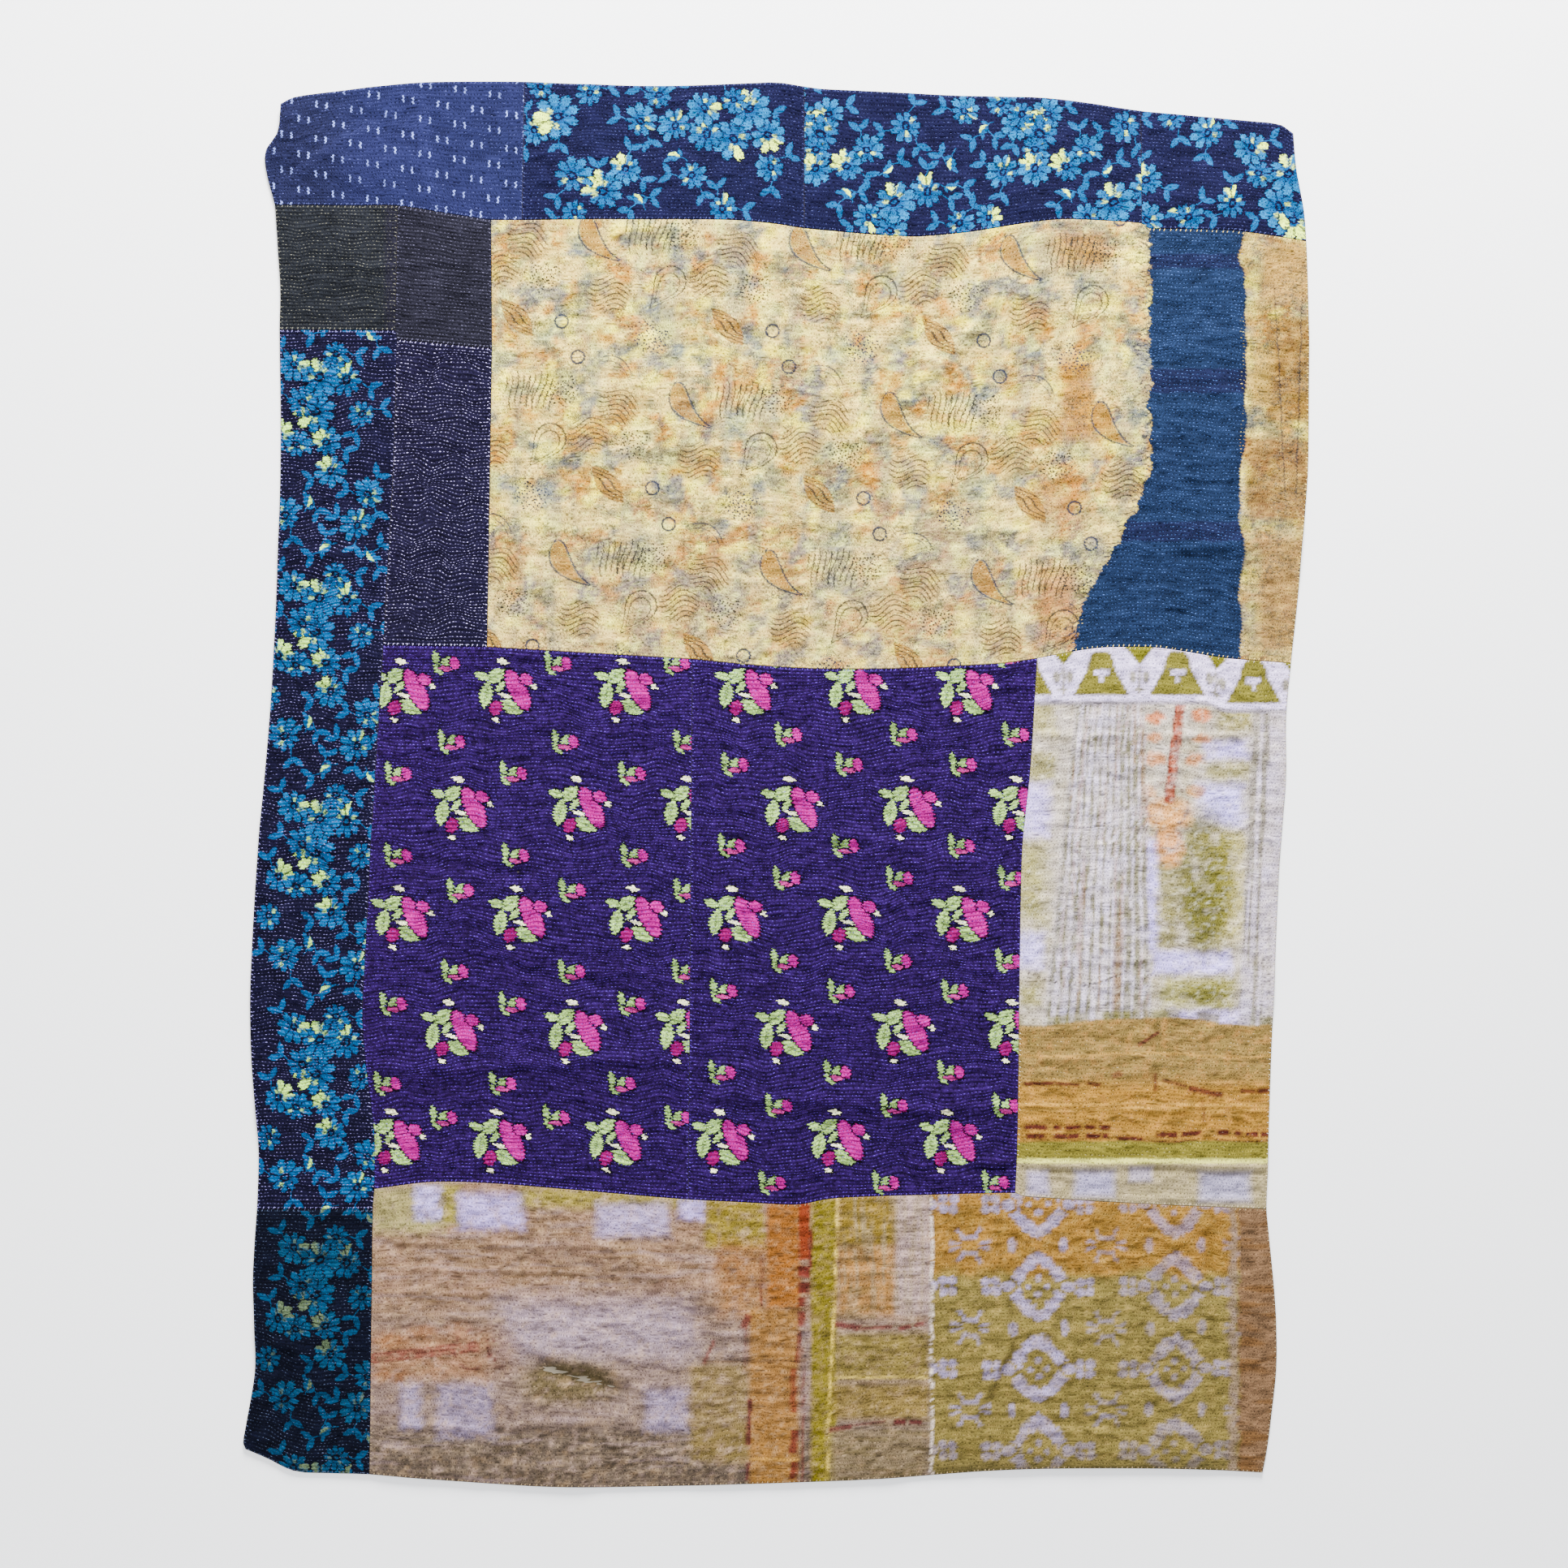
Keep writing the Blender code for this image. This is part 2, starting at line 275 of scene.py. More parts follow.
def patch(loop, u, v):
    """Places of a grid stretched between an outline's four sides, at shares across and up."""
    bottom, right, top, left = four_sides(loop)
    b, t, l, r = resample(bottom, u), resample(top, u), resample(left, v), resample(right, v)
    uu, vv = u[None, :, None], v[:, None, None]
    flat = (1 - vv) * b[None] + vv * t[None] + (1 - uu) * l[:, None] + uu * r[:, None]
    flat -= (1 - uu) * (1 - vv) * b[0] + uu * (1 - vv) * b[-1] + (1 - uu) * vv * t[0] + uu * vv * t[-1]
    return flat[..., 0], flat[..., 1]


def line_length(side):
    return np.hypot(*np.diff(side, axis=0).T).sum()


def spread(length, step, near=(0.0, 0.5, 1.2, 2.2)):
    """Shares of a length with the edges' fine steps and even steps between them."""
    inner = np.linspace(near[-1] + step, length - near[-1] - step, max(int(length / step) - 1, 2))
    return np.concatenate([near, inner, length - np.array(near[::-1])]) / length


def row_shares(length):
    """Shares of a length with two steps for each stitch row, and row numbers at them."""
    rows = int(round(length / ROW_PITCH))
    half = np.arange(1, 2 * rows)
    number = np.concatenate([[0, 0.1, 0.3], half / 2, [rows - 0.3, rows - 0.1, rows]])
    return number / rows, number


# One cloth a row: its node, the step of its grid across the rows, how far its rows swerve and over what
# length, the height of its puckers, and the share of its stitches that show.
Cloth = namedtuple("Cloth", "node step wave swirl pucker stitched")
CLOTHS = [
    Cloth("face_indigo", 5, 3.0, 60, 0.7, 0.5),
    Cloth("face_black_left", 5, 5.0, 60, 0.7, 0.85),
    Cloth("face_black_right", 5, 3.0, 60, 0.6, 0.85),
    Cloth("face_navy", 5, 12.0, 55, 0.7, 0.98),
    Cloth("face_floral_top_left", 4, 4.0, 70, 0.8, 0.75),
    Cloth("face_floral_top_mid", 4, 3.0, 70, 0.8, 0.65),
    Cloth("face_floral_top_right", 4, 4.0, 70, 0.8, 0.75),
    Cloth("face_floral_side", 4, 7.0, 60, 0.8, 0.85),
    Cloth("face_floral_foot", 4, 5.0, 60, 0.8, 0.75),
    Cloth("face_paisley", 4.4, 6.0, 70, 1.0, 0.85),
    Cloth("face_purple_left", 6, 10.0, 80, 1.0, 0.9),
    Cloth("face_purple_right", 6, 10.0, 80, 1.0, 0.9),
    Cloth("face_print_right", 3.2, 5.0, 80, 1.0, 0.55),
    Cloth("face_print_low", 3.6, 6.0, 80, 1.1, 0.6),
]

# One crease a row, as a soft ridge along a line, or a trough where the height is negative.
Crease = namedtuple("Crease", "across_1 down_1 across_2 down_2 half_width height")
CREASES = [
    Crease(1165, 1433, 1620, 1434, 5, 1.6),
    Crease(1160, 1441, 1620, 1443, 4, -0.8),
    Crease(1260, 906, 1600, 905, 4, 1.1),
    Crease(1150, 1362, 1600, 1366, 3.5, 0.9),
    Crease(1255, 1311, 1352, 1300, 3.5, 1.0),
    Crease(1290, 1356, 1408, 1366, 3, 0.8),
    Crease(1440, 1344, 1580, 1372, 4, 0.8),
    Crease(1330, 1283, 1440, 1286, 3, -0.7),
    Crease(1396, 1330, 1470, 1352, 3.5, 0.8),
    Crease(1228, 362, 1145, 472, 7, 1.3),
    Crease(1145, 472, 1003, 568, 7, 1.3),
    Crease(640, 395, 1150, 401, 5, 0.7),
    Crease(800, 280, 806, 800, 7, 0.6),
    Crease(966, 285, 972, 800, 6, -0.8),
    Crease(1110, 290, 1100, 800, 7, 0.6),
    Crease(1268, 300, 1262, 780, 6, 0.7),
    Crease(620, 560, 1000, 548, 6, 0.6),
    Crease(900, 640, 1300, 655, 6, 0.6),
    Crease(690, 690, 1010, 712, 6, -0.6),
    Crease(1420, 500, 1600, 520, 6, 1.0),
    Crease(1430, 420, 1560, 408, 5, 0.8),
    Crease(1340, 690, 1580, 664, 6, 0.9),
    Crease(1540, 560, 1500, 790, 6, 0.9),
    Crease(640, 1582, 694, 1652, 3, 1.1),
    Crease(886, 1566, 858, 1648, 4, 1.4),
    Crease(776, 1520, 876, 1580, 10, -1.6),
    Crease(640, 1676, 790, 1720, 10, -2.0),
    Crease(660, 1660, 800, 1700, 8, 1.2),
    Crease(466, 1530, 860, 1536, 4, 0.8),
    Crease(466, 1562, 880, 1574, 4, 0.9),
    Crease(466, 1590, 860, 1606, 4, 0.8),
    Crease(466, 1618, 840, 1632, 4, 0.7),
    Crease(480, 1758, 900, 1748, 6, 1.1),
    Crease(1000, 1568, 1146, 1572, 4, 1.0),
    Crease(1030, 1698, 1180, 1692, 3.5, 1.0),
    Crease(1247, 1590, 1246, 1680, 3, -1.0),
    Crease(1250, 1640, 1200, 1752, 5, 1.7),
    Crease(1258, 1642, 1208, 1756, 4, -1.4),
    Crease(1150, 1760, 1560, 1768, 6, 1.0),
    Crease(1290, 1476, 1560, 1480, 4, 1.0),
    Crease(1500, 1500, 1512, 1780, 5, 1.0),
    Crease(620, 820, 628, 1460, 7, 0.9),
    Crease(880, 820, 884, 1470, 6, 1.2),
    Crease(1010, 830, 1000, 1460, 7, 0.7),
    Crease(1162, 830, 1150, 1460, 7, 0.9),
    Crease(470, 1318, 860, 1304, 8, 1.3),
    Crease(900, 1352, 1260, 1366, 8, 1.3),
    Crease(470, 1062, 700, 1078, 8, -1.0),
    Crease(930, 1010, 1180, 1052, 9, 1.2),
    Crease(560, 1180, 820, 1230, 9, -1.0),
    Crease(700, 920, 860, 860, 9, 1.0),
    Crease(330, 1040, 460, 1050, 6, 1.0),
    Crease(340, 690, 476, 672, 6, 0.9),
    Crease(320, 1240, 458, 1222, 6, 0.9),
    Crease(325, 1492, 460, 1498, 5, 1.4),
    Crease(320, 1640, 440, 1690, 7, 1.1),
    Crease(350, 218, 470, 150, 7, 1.3),
    Crease(520, 110, 530, 262, 7, 0.9),
    Crease(770, 110, 762, 276, 7, 0.9),
    Crease(1180, 120, 1192, 270, 7, 0.8),
    Crease(1420, 140, 1400, 275, 7, 0.9),
    Crease(350, 330, 600, 322, 5, 0.8),
    Crease(490, 520, 606, 560, 6, 1.0),
    Crease(488, 640, 604, 622, 6, -0.9),
]


def crease_height(x, y):
    """Height of the creases at places, in mm."""
    total = np.zeros_like(x)
    for c in CREASES:
        ax, ay = c.across_1 - MIDDLE_ACROSS, MIDDLE_DOWN - c.down_1
        bx, by = c.across_2 - MIDDLE_ACROSS, MIDDLE_DOWN - c.down_2
        dx, dy = bx - ax, by - ay
        length = math.hypot(dx, dy)
        along = ((x - ax) * dx + (y - ay) * dy) / length
        bend = 4 * grain(along, np.full_like(along, c.down_1), 70, 3)
        off = ((y - ay) * dx - (x - ax) * dy) / length + bend
        ends = np.clip(along / CREASE_END, 0, 1) * np.clip((length - along) / CREASE_END, 0, 1)
        uneven = 1 + 0.5 * grain(along, np.full_like(along, c.across_1), 45, 4)
        total += CREASE_SHARE * c.height * uneven * ends * np.exp(-((off / c.half_width) ** 2))
    return total


def wrinkles(x, y):
    """Fine wrinkles along the lines on which soft noise is zero, from 0 to 1."""
    lines = 1 - np.abs(grain(x + 0.5 * y, y * 1.9, 46, 41)) * 6
    short = 1 - np.abs(grain(x * 1.5, y - 0.4 * x, 30, 43)) * 5
    here = np.clip(grain(x, y, 90, 47) * 1.6 + 0.5, 0, 1)
    return np.clip(lines, 0, 1) ** 1.5 * here + 0.7 * np.clip(short, 0, 1) ** 1.5 * (1 - here)


# What is worked out for one cloth's grid: its points, how far along its row each lies, the row numbers, how
# deep the grid lies under its surroundings, and the cloth's outline.
Grid = namedtuple("Grid", "points along number trough loop")


def cloth_grid(cloth):
    """The grid of one cloth on the folds of its solid."""
    points, triangles = node_mesh(cloth.node)
    loop = rim_loop(points, upward(points, triangles))
    bottom, right, top, left = four_sides(loop)
    width = (line_length(bottom) + line_length(top)) / 2
    height = (line_length(left) + line_length(right)) / 2
    u = spread(width, cloth.step)
    v, number = row_shares(height)
    x, y = patch(loop, u, v)
    uu, vv = u[None, :], v[:, None]
    edge = np.minimum(np.minimum(uu, 1 - uu) * width, np.minimum(vv, 1 - vv) * height)
    free = np.clip(edge / WAVE_FADE, 0, 1) ** 1.5
    shift_x = cloth.wave * free * grain(x, y, cloth.swirl, 11)
    fine = 0.45 * grain(x, y, cloth.swirl * 0.42, 29)
    x, y = x + shift_x, y + cloth.wave * free * (grain(x, y, cloth.swirl, 23) + fine)
    near = np.clip(edge / 10, 0, 1)
    waves = cloth.pucker * (1.5 * grain(x, y * 2.0, 34, 5) + 0.9 * grain(x, y * 1.6, 13, 6))
    waves += 1.5 * cloth.pucker * wrinkles(x, y)
    waves = near * (waves + crease_height(x, y))
    trough = soft_grid(waves) - waves
    z = lift.at(x, y) + FACE_HEIGHT + waves
    near_rim = edge < 6
    rim = np.zeros_like(x, bool)
    rim[near_rim] = distance_to_loop(x[near_rim], y[near_rim], lift.loop) < edge[near_rim] + 1.2
    turn = np.clip(1 - edge / np.where(rim, 2.6, 1.8), 0, 1)
    z -= np.where(rim, RIM_DROP, SEAM_DROP) * (1 - np.sqrt(1 - turn**2))
    steps = np.hypot(np.diff(x, axis=1), np.diff(y, axis=1))
    along = np.concatenate([np.zeros((len(v), 1)), np.cumsum(steps, axis=1)], axis=1)
    on_half = np.abs(number * 2 - np.round(number * 2)) < 1e-6
    odd = on_half & (np.round(number * 2) % 2 == 1)
    even = on_half & ~odd
    rough = 1 + 0.6 * grain(x, y, 15, 8)
    z += np.clip(edge / 3, 0, 1) * rough * (VALLEY * odd + RIDGE * even)[:, None]
    return Grid(np.stack([x, y, z], axis=-1), along, number, trough, loop)


def soft_grid(values, reach=5):
    """Values of a grid, each taken as the mean of those round it."""
    for axis in (0, 1):
        pads = [(0, 0), (0, 0)]
        pads[axis] = (reach, reach)
        wide = np.pad(values, pads, mode="edge")
        sums = [np.take(wide, range(k, k + values.shape[axis]), axis) for k in range(2 * reach + 1)]
        values = sum(sums) / len(sums)
    return values


def grid_faces(down, across):
    """The four-sided faces of a grid with that many points down and across."""
    a = (np.arange(down - 1)[:, None] * across + np.arange(across - 1)[None]).ravel()
    return np.stack([a, a + 1, a + across + 1, a + across], axis=1)


def stitch_mesh(name, middles, directions, lengths, widths, heights, materials):
    """Short thread dashes as low ridges: two ends, two sides and a crest each."""
    n = len(middles)
    d = np.asarray(directions, float)
    d /= np.maximum(np.linalg.norm(d, axis=1), 1e-9)[:, None]
    side = np.stack([-d[:, 1], d[:, 0], np.zeros(n)], axis=1)
    half = d * (lengths / 2)[:, None]
    out = side * (widths / 2)[:, None]
    up = np.stack([np.zeros(n), np.zeros(n), heights], axis=1)
    sunk = np.stack([np.zeros(n), np.zeros(n), np.full(n, 0.08)], axis=1)
    ends = [middles - half - sunk, middles + half - sunk]
    corners = np.stack([*ends, middles - out, middles + out, middles + up], axis=1)
    first = (np.arange(n) * 5)[:, None]
    one = np.array([[0, 2, 4], [2, 1, 4], [1, 3, 4], [3, 0, 4]])
    faces = (first[:, :, None] + one[None]).reshape(-1, 3)
    return add_mesh(name, corners.reshape(-1, 3), faces, materials, smooth=False)


def along_line(line, pitch, seed):
    """Places and directions at about even steps along a line of points."""
    gaps = np.linalg.norm(np.diff(line, axis=0), axis=1)
    at = np.concatenate([[0], np.cumsum(gaps)])
    count = max(int(at[-1] / pitch), 1)
    places = (np.arange(count) + 0.5) * pitch
    own_shift = (chance(np.arange(count), seed) - 0.5) * pitch * 0.45
    places = places + own_shift + (chance(seed, 3.3) - 0.5) * pitch
    places = places[(places > 2) & (places < at[-1] - 2)]

    def on_line(where):
        return np.stack([np.interp(where, at, line[:, k]) for k in range(3)], axis=1)

    return on_line(places), on_line(places + 1.2) - on_line(places - 1.2)


def row_stitches(cloth, grid, seed):
    """Places and directions of the running stitches in every row of a cloth."""
    middles, directions = [], []
    for k in np.nonzero(np.round(grid.number * 2) % 2 == 1)[0]:
        if abs(grid.number[k] * 2 - round(grid.number[k] * 2)) > 1e-6:
            continue
        m, d = along_line(grid.points[k], STITCH_PITCH, seed + k * 1.37)
        middles.append(m)
        directions.append(d)
    middles, directions = np.concatenate(middles), np.concatenate(directions)
    seen = cloth.stitched * (1 + 0.45 * grain(middles[:, 0], middles[:, 1], 45, seed + 2))
    keep = chance(middles[:, 0], middles[:, 1], seed) < seen
    directions = directions[keep]
    directions[:, 1] += (chance(np.arange(len(directions)), seed + 9) - 0.5) * 0.5
    return middles[keep], directions


def whip_stitches(grid, seed):
    """Places and directions of the stitches that cross a cloth's edge."""
    loop = np.concatenate([grid.loop, grid.loop[:1]])
    flat = np.column_stack([loop, np.zeros(len(loop))])
    middles, directions = along_line(flat, WHIP_PITCH, seed)
    run = directions / np.maximum(np.linalg.norm(directions, axis=1), 1e-9)[:, None]
    inward = np.stack([-run[:, 1], run[:, 0], np.zeros(len(run))], axis=1)
    centre = grid.loop.mean(axis=0)
    turned = np.sign(np.sum(inward[:, :2] * (centre - middles[:, :2]), axis=1).sum())
    inward *= turned
    middles = middles + inward * WHIP_INSET
    middles[:, 2] = lift.at(middles[:, 0], middles[:, 1]) + FACE_HEIGHT - 0.1
    return middles, inward + 0.35 * run


# LIGHT is the light that a white cloth on the floor gives back. SHOWN_VALUES are what the default view shows
# for grey light of 2**-10 to 2**4, and the other two say how it spreads the three channels.
LIGHT = 4.0
FIRST_POWER = -10.0
VIEW_POWER = 2.4
SHOWN_VALUES = (
    0.0032, 0.0098, 0.0252, 0.0578, 0.1045, 0.1691, 0.2592, 0.3837, 0.5321, 0.6652, 0.771, 0.8518, 0.9137,
    0.9616, 0.9986,
)
SPREAD_IN = np.array([[0.6536, 0.2605, 0.0859], [0.0982, 0.7965, 0.1053], [0.0827, 0.1774, 0.7399]])
SPREAD_OUT = np.array([[0.7029, 0.2241, 0.073], [0.0719, 0.9051, 0.023], [0.0763, 0.1759, 0.7478]])


def linear(hexadecimal):
    """The cloth colour that shows as this screen colour under LIGHT in the default view."""
    shown = np.array([int(hexadecimal[k:k + 2], 16) / 255 for k in (1, 3, 5)])
    even = (SPREAD_OUT @ shown**VIEW_POWER) ** (1 / VIEW_POWER)
    lights = np.arange(len(SHOWN_VALUES)) + FIRST_POWER
    light = 2.0 ** np.interp(even, SHOWN_VALUES, lights)
    colour = np.linalg.solve(SPREAD_IN, light) / LIGHT
    return [float(c) for c in np.clip(colour, 0.0003, 0.92)]


class Term:
    """A number or colour on a material's nodes, with which sums can be written."""

    def __init__(self, paint, socket):
        self.paint = paint
        self.socket = socket

    def __add__(self, other):
        return self.paint.math("ADD", self, other)

    def __radd__(self, other):
        return self.paint.math("ADD", other, self)

    def __sub__(self, other):
        return self.paint.math("SUBTRACT", self, other)

    def __rsub__(self, other):
        return self.paint.math("SUBTRACT", other, self)

    def __mul__(self, other):
        return self.paint.math("MULTIPLY", self, other)

    def __rmul__(self, other):
        return self.paint.math("MULTIPLY", other, self)

    def __truediv__(self, other):
        return self.paint.math("DIVIDE", self, other)


class Paint:
    """One material and the nodes of its colour."""

    def __init__(self, name, roughness=0.95, sheen=0.02):
        self.material = bpy.data.materials.new(name)
        self.material.use_nodes = True
        self.tree = self.material.node_tree
        self.shader = self.tree.nodes["Principled BSDF"]
        self.shader.inputs["Roughness"].default_value = roughness
        self.shader.inputs["Specular IOR Level"].default_value = 0.0
        self.shader.inputs["Sheen Weight"].default_value = sheen
        self.shader.inputs["Sheen Roughness"].default_value = 0.6

    def node(self, kind, **settings):
        made = self.tree.nodes.new(kind)
        for key, value in settings.items():
            setattr(made, key, value)
        return made

    def put(self, value, socket):
        if isinstance(value, Term):
            self.tree.links.new(value.socket, socket)
        elif isinstance(value, str):
            socket.default_value = linear(value) + [1]
        elif isinstance(value, tuple):
            socket.default_value = value + (1,)
        else:
            socket.default_value = value

    def math(self, kind, *values):
        made = self.node("ShaderNodeMath", operation=kind)
        for value, socket in zip(values, made.inputs):
            self.put(value, socket)
        return Term(self, made.outputs[0])

    def low(self, a, b):
        return self.math("MINIMUM", a, b)

    def high(self, a, b):
        return self.math("MAXIMUM", a, b)

    def size(self, a):
        return self.math("ABSOLUTE", a)

    def root(self, a):
        return self.math("SQRT", a)

    def sine(self, a):
        return self.math("SINE", a)

    def part(self, a):
        """What is over after the whole number below it."""
        return self.math("FLOORED_MODULO", a, 1.0)

    def whole(self, a):
        return self.math("FLOOR", a)

    def length(self, x, y):
        return self.root(x * x + y * y)

    def step(self, value, start, end):
        """0 at start and 1 at end, soft between, and the other way round where end is lower."""
        made = self.node("ShaderNodeMapRange", interpolation_type="SMOOTHSTEP")
        self.put(value, made.inputs["Value"])
        made.inputs["From Min"].default_value = start
        made.inputs["From Max"].default_value = end
        return Term(self, made.outputs[0])

    def uv(self, name):
        made = self.node("ShaderNodeUVMap", uv_map=name)
        split = self.node("ShaderNodeSeparateXYZ")
        self.tree.links.new(made.outputs[0], split.inputs[0])
        return Term(self, split.outputs[0]), Term(self, split.outputs[1])

    def place(self, x, y):
        made = self.node("ShaderNodeCombineXYZ")
        self.put(x, made.inputs[0])
        self.put(y, made.inputs[1])
        return Term(self, made.outputs[0])

    def noise(self, x, y, size, detail=2.0, rough=0.5):
        """Noise from 0 to 1 with lumps of about that size in mm."""
        made = self.node("ShaderNodeTexNoise", noise_dimensions="2D")
        self.put(self.place(x, y), made.inputs["Vector"])
        made.inputs["Scale"].default_value = 1.0 / size
        made.inputs["Detail"].default_value = detail
        made.inputs["Roughness"].default_value = rough
        return Term(self, made.outputs[0])

    def cells(self, x, y, size, loose=1.0):
        """Distance to the nearest of scattered points, in parts of size."""
        made = self.node("ShaderNodeTexVoronoi", voronoi_dimensions="2D")
        self.put(self.place(x, y), made.inputs["Vector"])
        made.inputs["Scale"].default_value = 1.0 / size
        made.inputs["Randomness"].default_value = loose
        return Term(self, made.outputs["Distance"])

    def mix(self, share, a, b):
        made = self.node("ShaderNodeMix", data_type="RGBA")
        self.put(share, made.inputs[0])
        self.put(a, made.inputs[6])
        self.put(b, made.inputs[7])
        return Term(self, made.outputs[2])

    def scale(self, colour, share):
        made = self.node("ShaderNodeVectorMath", operation="SCALE")
        self.put(colour, made.inputs[0])
        self.put(share, made.inputs["Scale"])
        return Term(self, made.outputs[0])


# The strength of wear in a cloth's colour and of the painted shade in its needle holes, and how far its
# print's edges swerve in mm.
WEAR = 0.16
NEEDLE_HOLE_SHADE = 0.4
RAGGED = 1.2
SERRATE = 0.6
PLAIN_ROUGHNESS = 0.9


class Canvas:
    """Numbers and colours at a cloth's points, worked out with the same words as on nodes."""

    def __init__(self, points):
        self.across = points[..., 0] + MIDDLE_ACROSS
        self.down = MIDDLE_DOWN - points[..., 1]
        self.x = self.across + (self.noise(self.across, self.down, 5.0) - 0.5) * 2.4
        self.y = self.down + (self.noise(self.across + 300, self.down, 5.0) - 0.5) * 2.4

    def low(self, a, b):
        return np.minimum(a, b)

    def high(self, a, b):
        return np.maximum(a, b)

    def size(self, a):
        return np.abs(a)

    def root(self, a):
        return np.sqrt(np.maximum(a, 0))

    def sine(self, a):
        return np.sin(a)

    def part(self, a):
        return a - np.floor(a)

    def whole(self, a):
        return np.floor(a)

    def length(self, x, y):
        return np.hypot(x, y)

    def fold(self, a, middle, pitch):
        """Distance to the nearest of places a pitch apart."""
        return np.abs(self.part((a - middle) / pitch + 0.5) - 0.5) * pitch

    def step(self, value, start, end):
        t = np.clip((value - start) / (end - start), 0, 1)
        return t * t * (3 - 2 * t)

    def noise(self, x, y, size, detail=2.0, rough=0.5):
        total, weight, share = 0.0, 0.0, 1.0
        for k in range(int(detail) + 1):
            total = total + share * grain(x, y, size / 2.0**k, 50 + k)
            weight, share = weight + share, share * rough
        return 0.5 + 0.45 * total / weight

    def tone(self, colour):
        if isinstance(colour, str):
            return np.array(linear(colour))
        return np.asarray(colour, float)

    def mix(self, share, a, b):
        share = np.clip(share, 0, 1)[..., None]
        return self.tone(a) * (1 - share) + self.tone(b) * share


def plain(name, colour):
    """A matt material of one colour."""
    paint = Paint(name, PLAIN_ROUGHNESS, 0.0)
    paint.put(colour, paint.shader.inputs["Base Color"])
    return paint.material


def from_points(paint, name):
    """The colour that a mesh's points carry under that name."""
    made = paint.node("ShaderNodeAttribute", attribute_name=name)
    return Term(paint, made.outputs["Color"]), Term(paint, made.outputs["Fac"])


def finish_cloth(paint, colour, painted_row_shade):
    """Adds painted shade between the rows, in the needle holes and in the folds' hollows, painted light on
    the folds' ridges, wear and the weave's bumps to a cloth's print and links it.
    """
    x, y = paint.across, paint.down
    along, row = paint.uv("rows")
    place = along * (1 / STITCH_PITCH) + paint.noise(along, paint.whole(row) * 17.0, 30.0, 1.0) * 9.0
    phase = paint.size(paint.part(row) - 0.5) * 2.0
    between = paint.step(phase, 0.25, 0.95)
    uneven = paint.noise(along * 0.6, row * 7.0, 9.0, 2.0, 0.6)
    pits = paint.step(paint.size(paint.part(place) - 0.5), 0.28, 0.42) * paint.step(phase, 0.7, 0.2)
    soft = paint.noise(x, y, 42.0, 3.0)
    fine = paint.noise(x, y * 1.8, 3.4, 2.0, 0.7)
    share = 1.0 + (soft - 0.5) * (2.4 * WEAR) + (fine - 0.5) * (4.6 * WEAR)
    # Painted shade on the ridges between the stitch rows.
    share = share * (1.0 - between * (uneven * (2.0 * painted_row_shade)))
    # Painted shade in the needle holes beside the stitches.
    share = share * (1.0 - pits * (uneven * (2.0 * NEEDLE_HOLE_SHADE)))
    # Painted shade in the hollows of the folds and painted light on their ridges, from the points' attribute.
    _, painted_fold_shading = from_points(paint, "painted_fold_shading")
    paint.tree.links.new(paint.scale(colour, share * painted_fold_shading).socket, paint.shader.inputs["Base Color"])
    bump = paint.node("ShaderNodeBump")
    bump.inputs["Strength"].default_value = 0.8
    bump.inputs["Distance"].default_value = 0.0014
    weave = paint.noise(along, row * 3.0, 2.2, 1.0) * 0.7 + paint.noise(x, y, 1.1, 1.0) * 0.25
    dimple = weave - pits * 0.5
    paint.tree.links.new(dimple.socket, bump.inputs["Height"])
    paint.tree.links.new(bump.outputs[0], paint.shader.inputs["Normal"])
    return paint.material


def start_cloth(name):
    """A cloth's paint with its places in mm, uneven as a print's edges are."""
    paint = Paint(name)
    u, v = paint.uv("cloth")
    paint.across, paint.down = u * 1000.0, v * 1000.0
    _, row = paint.uv("rows")
    teeth = paint.sine(row * (2 * math.pi)) * SERRATE
    dx = (paint.noise(paint.across, paint.down, 3.5, 2.0, 0.6) - 0.5) * (2 * RAGGED)
    dy = (paint.noise(paint.across + 300.0, paint.down, 3.5, 2.0, 0.6) - 0.5) * (2 * RAGGED)
    paint.x = paint.across + dx + teeth
    paint.y = paint.down + dy
    paint.dx, paint.dy = dx + teeth, dy
    return paint


def indigo_print(paint):
    """Pairs of short white dashes on a slanting lattice."""
    x, y = paint.x - 503.0, paint.y - 123.0
    a = (42.5, 6.0)
    b = (21.0, 24.5)
    cross = a[0] * b[1] - a[1] * b[0]
    s = (x * b[1] - y * b[0]) * (1 / cross)
    t = (y * a[0] - x * a[1]) * (1 / cross)
    fs = paint.part(s + 0.5) - 0.5
    ft = paint.part(t + 0.5) - 0.5
    lx = fs * a[0] + ft * b[0]
    ly = fs * a[1] + ft * b[1]
    left = paint.high(paint.size(lx + 6.0) * 3.6, paint.size(ly + 1.0))
    right = paint.high(paint.size(lx - 6.0) * 3.6, paint.size(ly - 1.0))
    mask = paint.step(paint.low(left, right), 4.6, 3.4)
    worn = paint.step(paint.noise(paint.across, paint.down, 26.0, 2.0), 0.3, 0.6)
    ground = paint.mix(paint.noise(paint.across, paint.down, 120.0, 1.0), "#2e3d6e", "#3a4a82")
    ground = paint.mix(paint.step(paint.across, 470.0, 380.0) * 0.6, ground, "#2a3150")
    return paint.mix(mask * (0.4 + worn * 0.4), ground, "#c6cfe6")


HOT_PINK = (0.36, 0.0, 0.18)


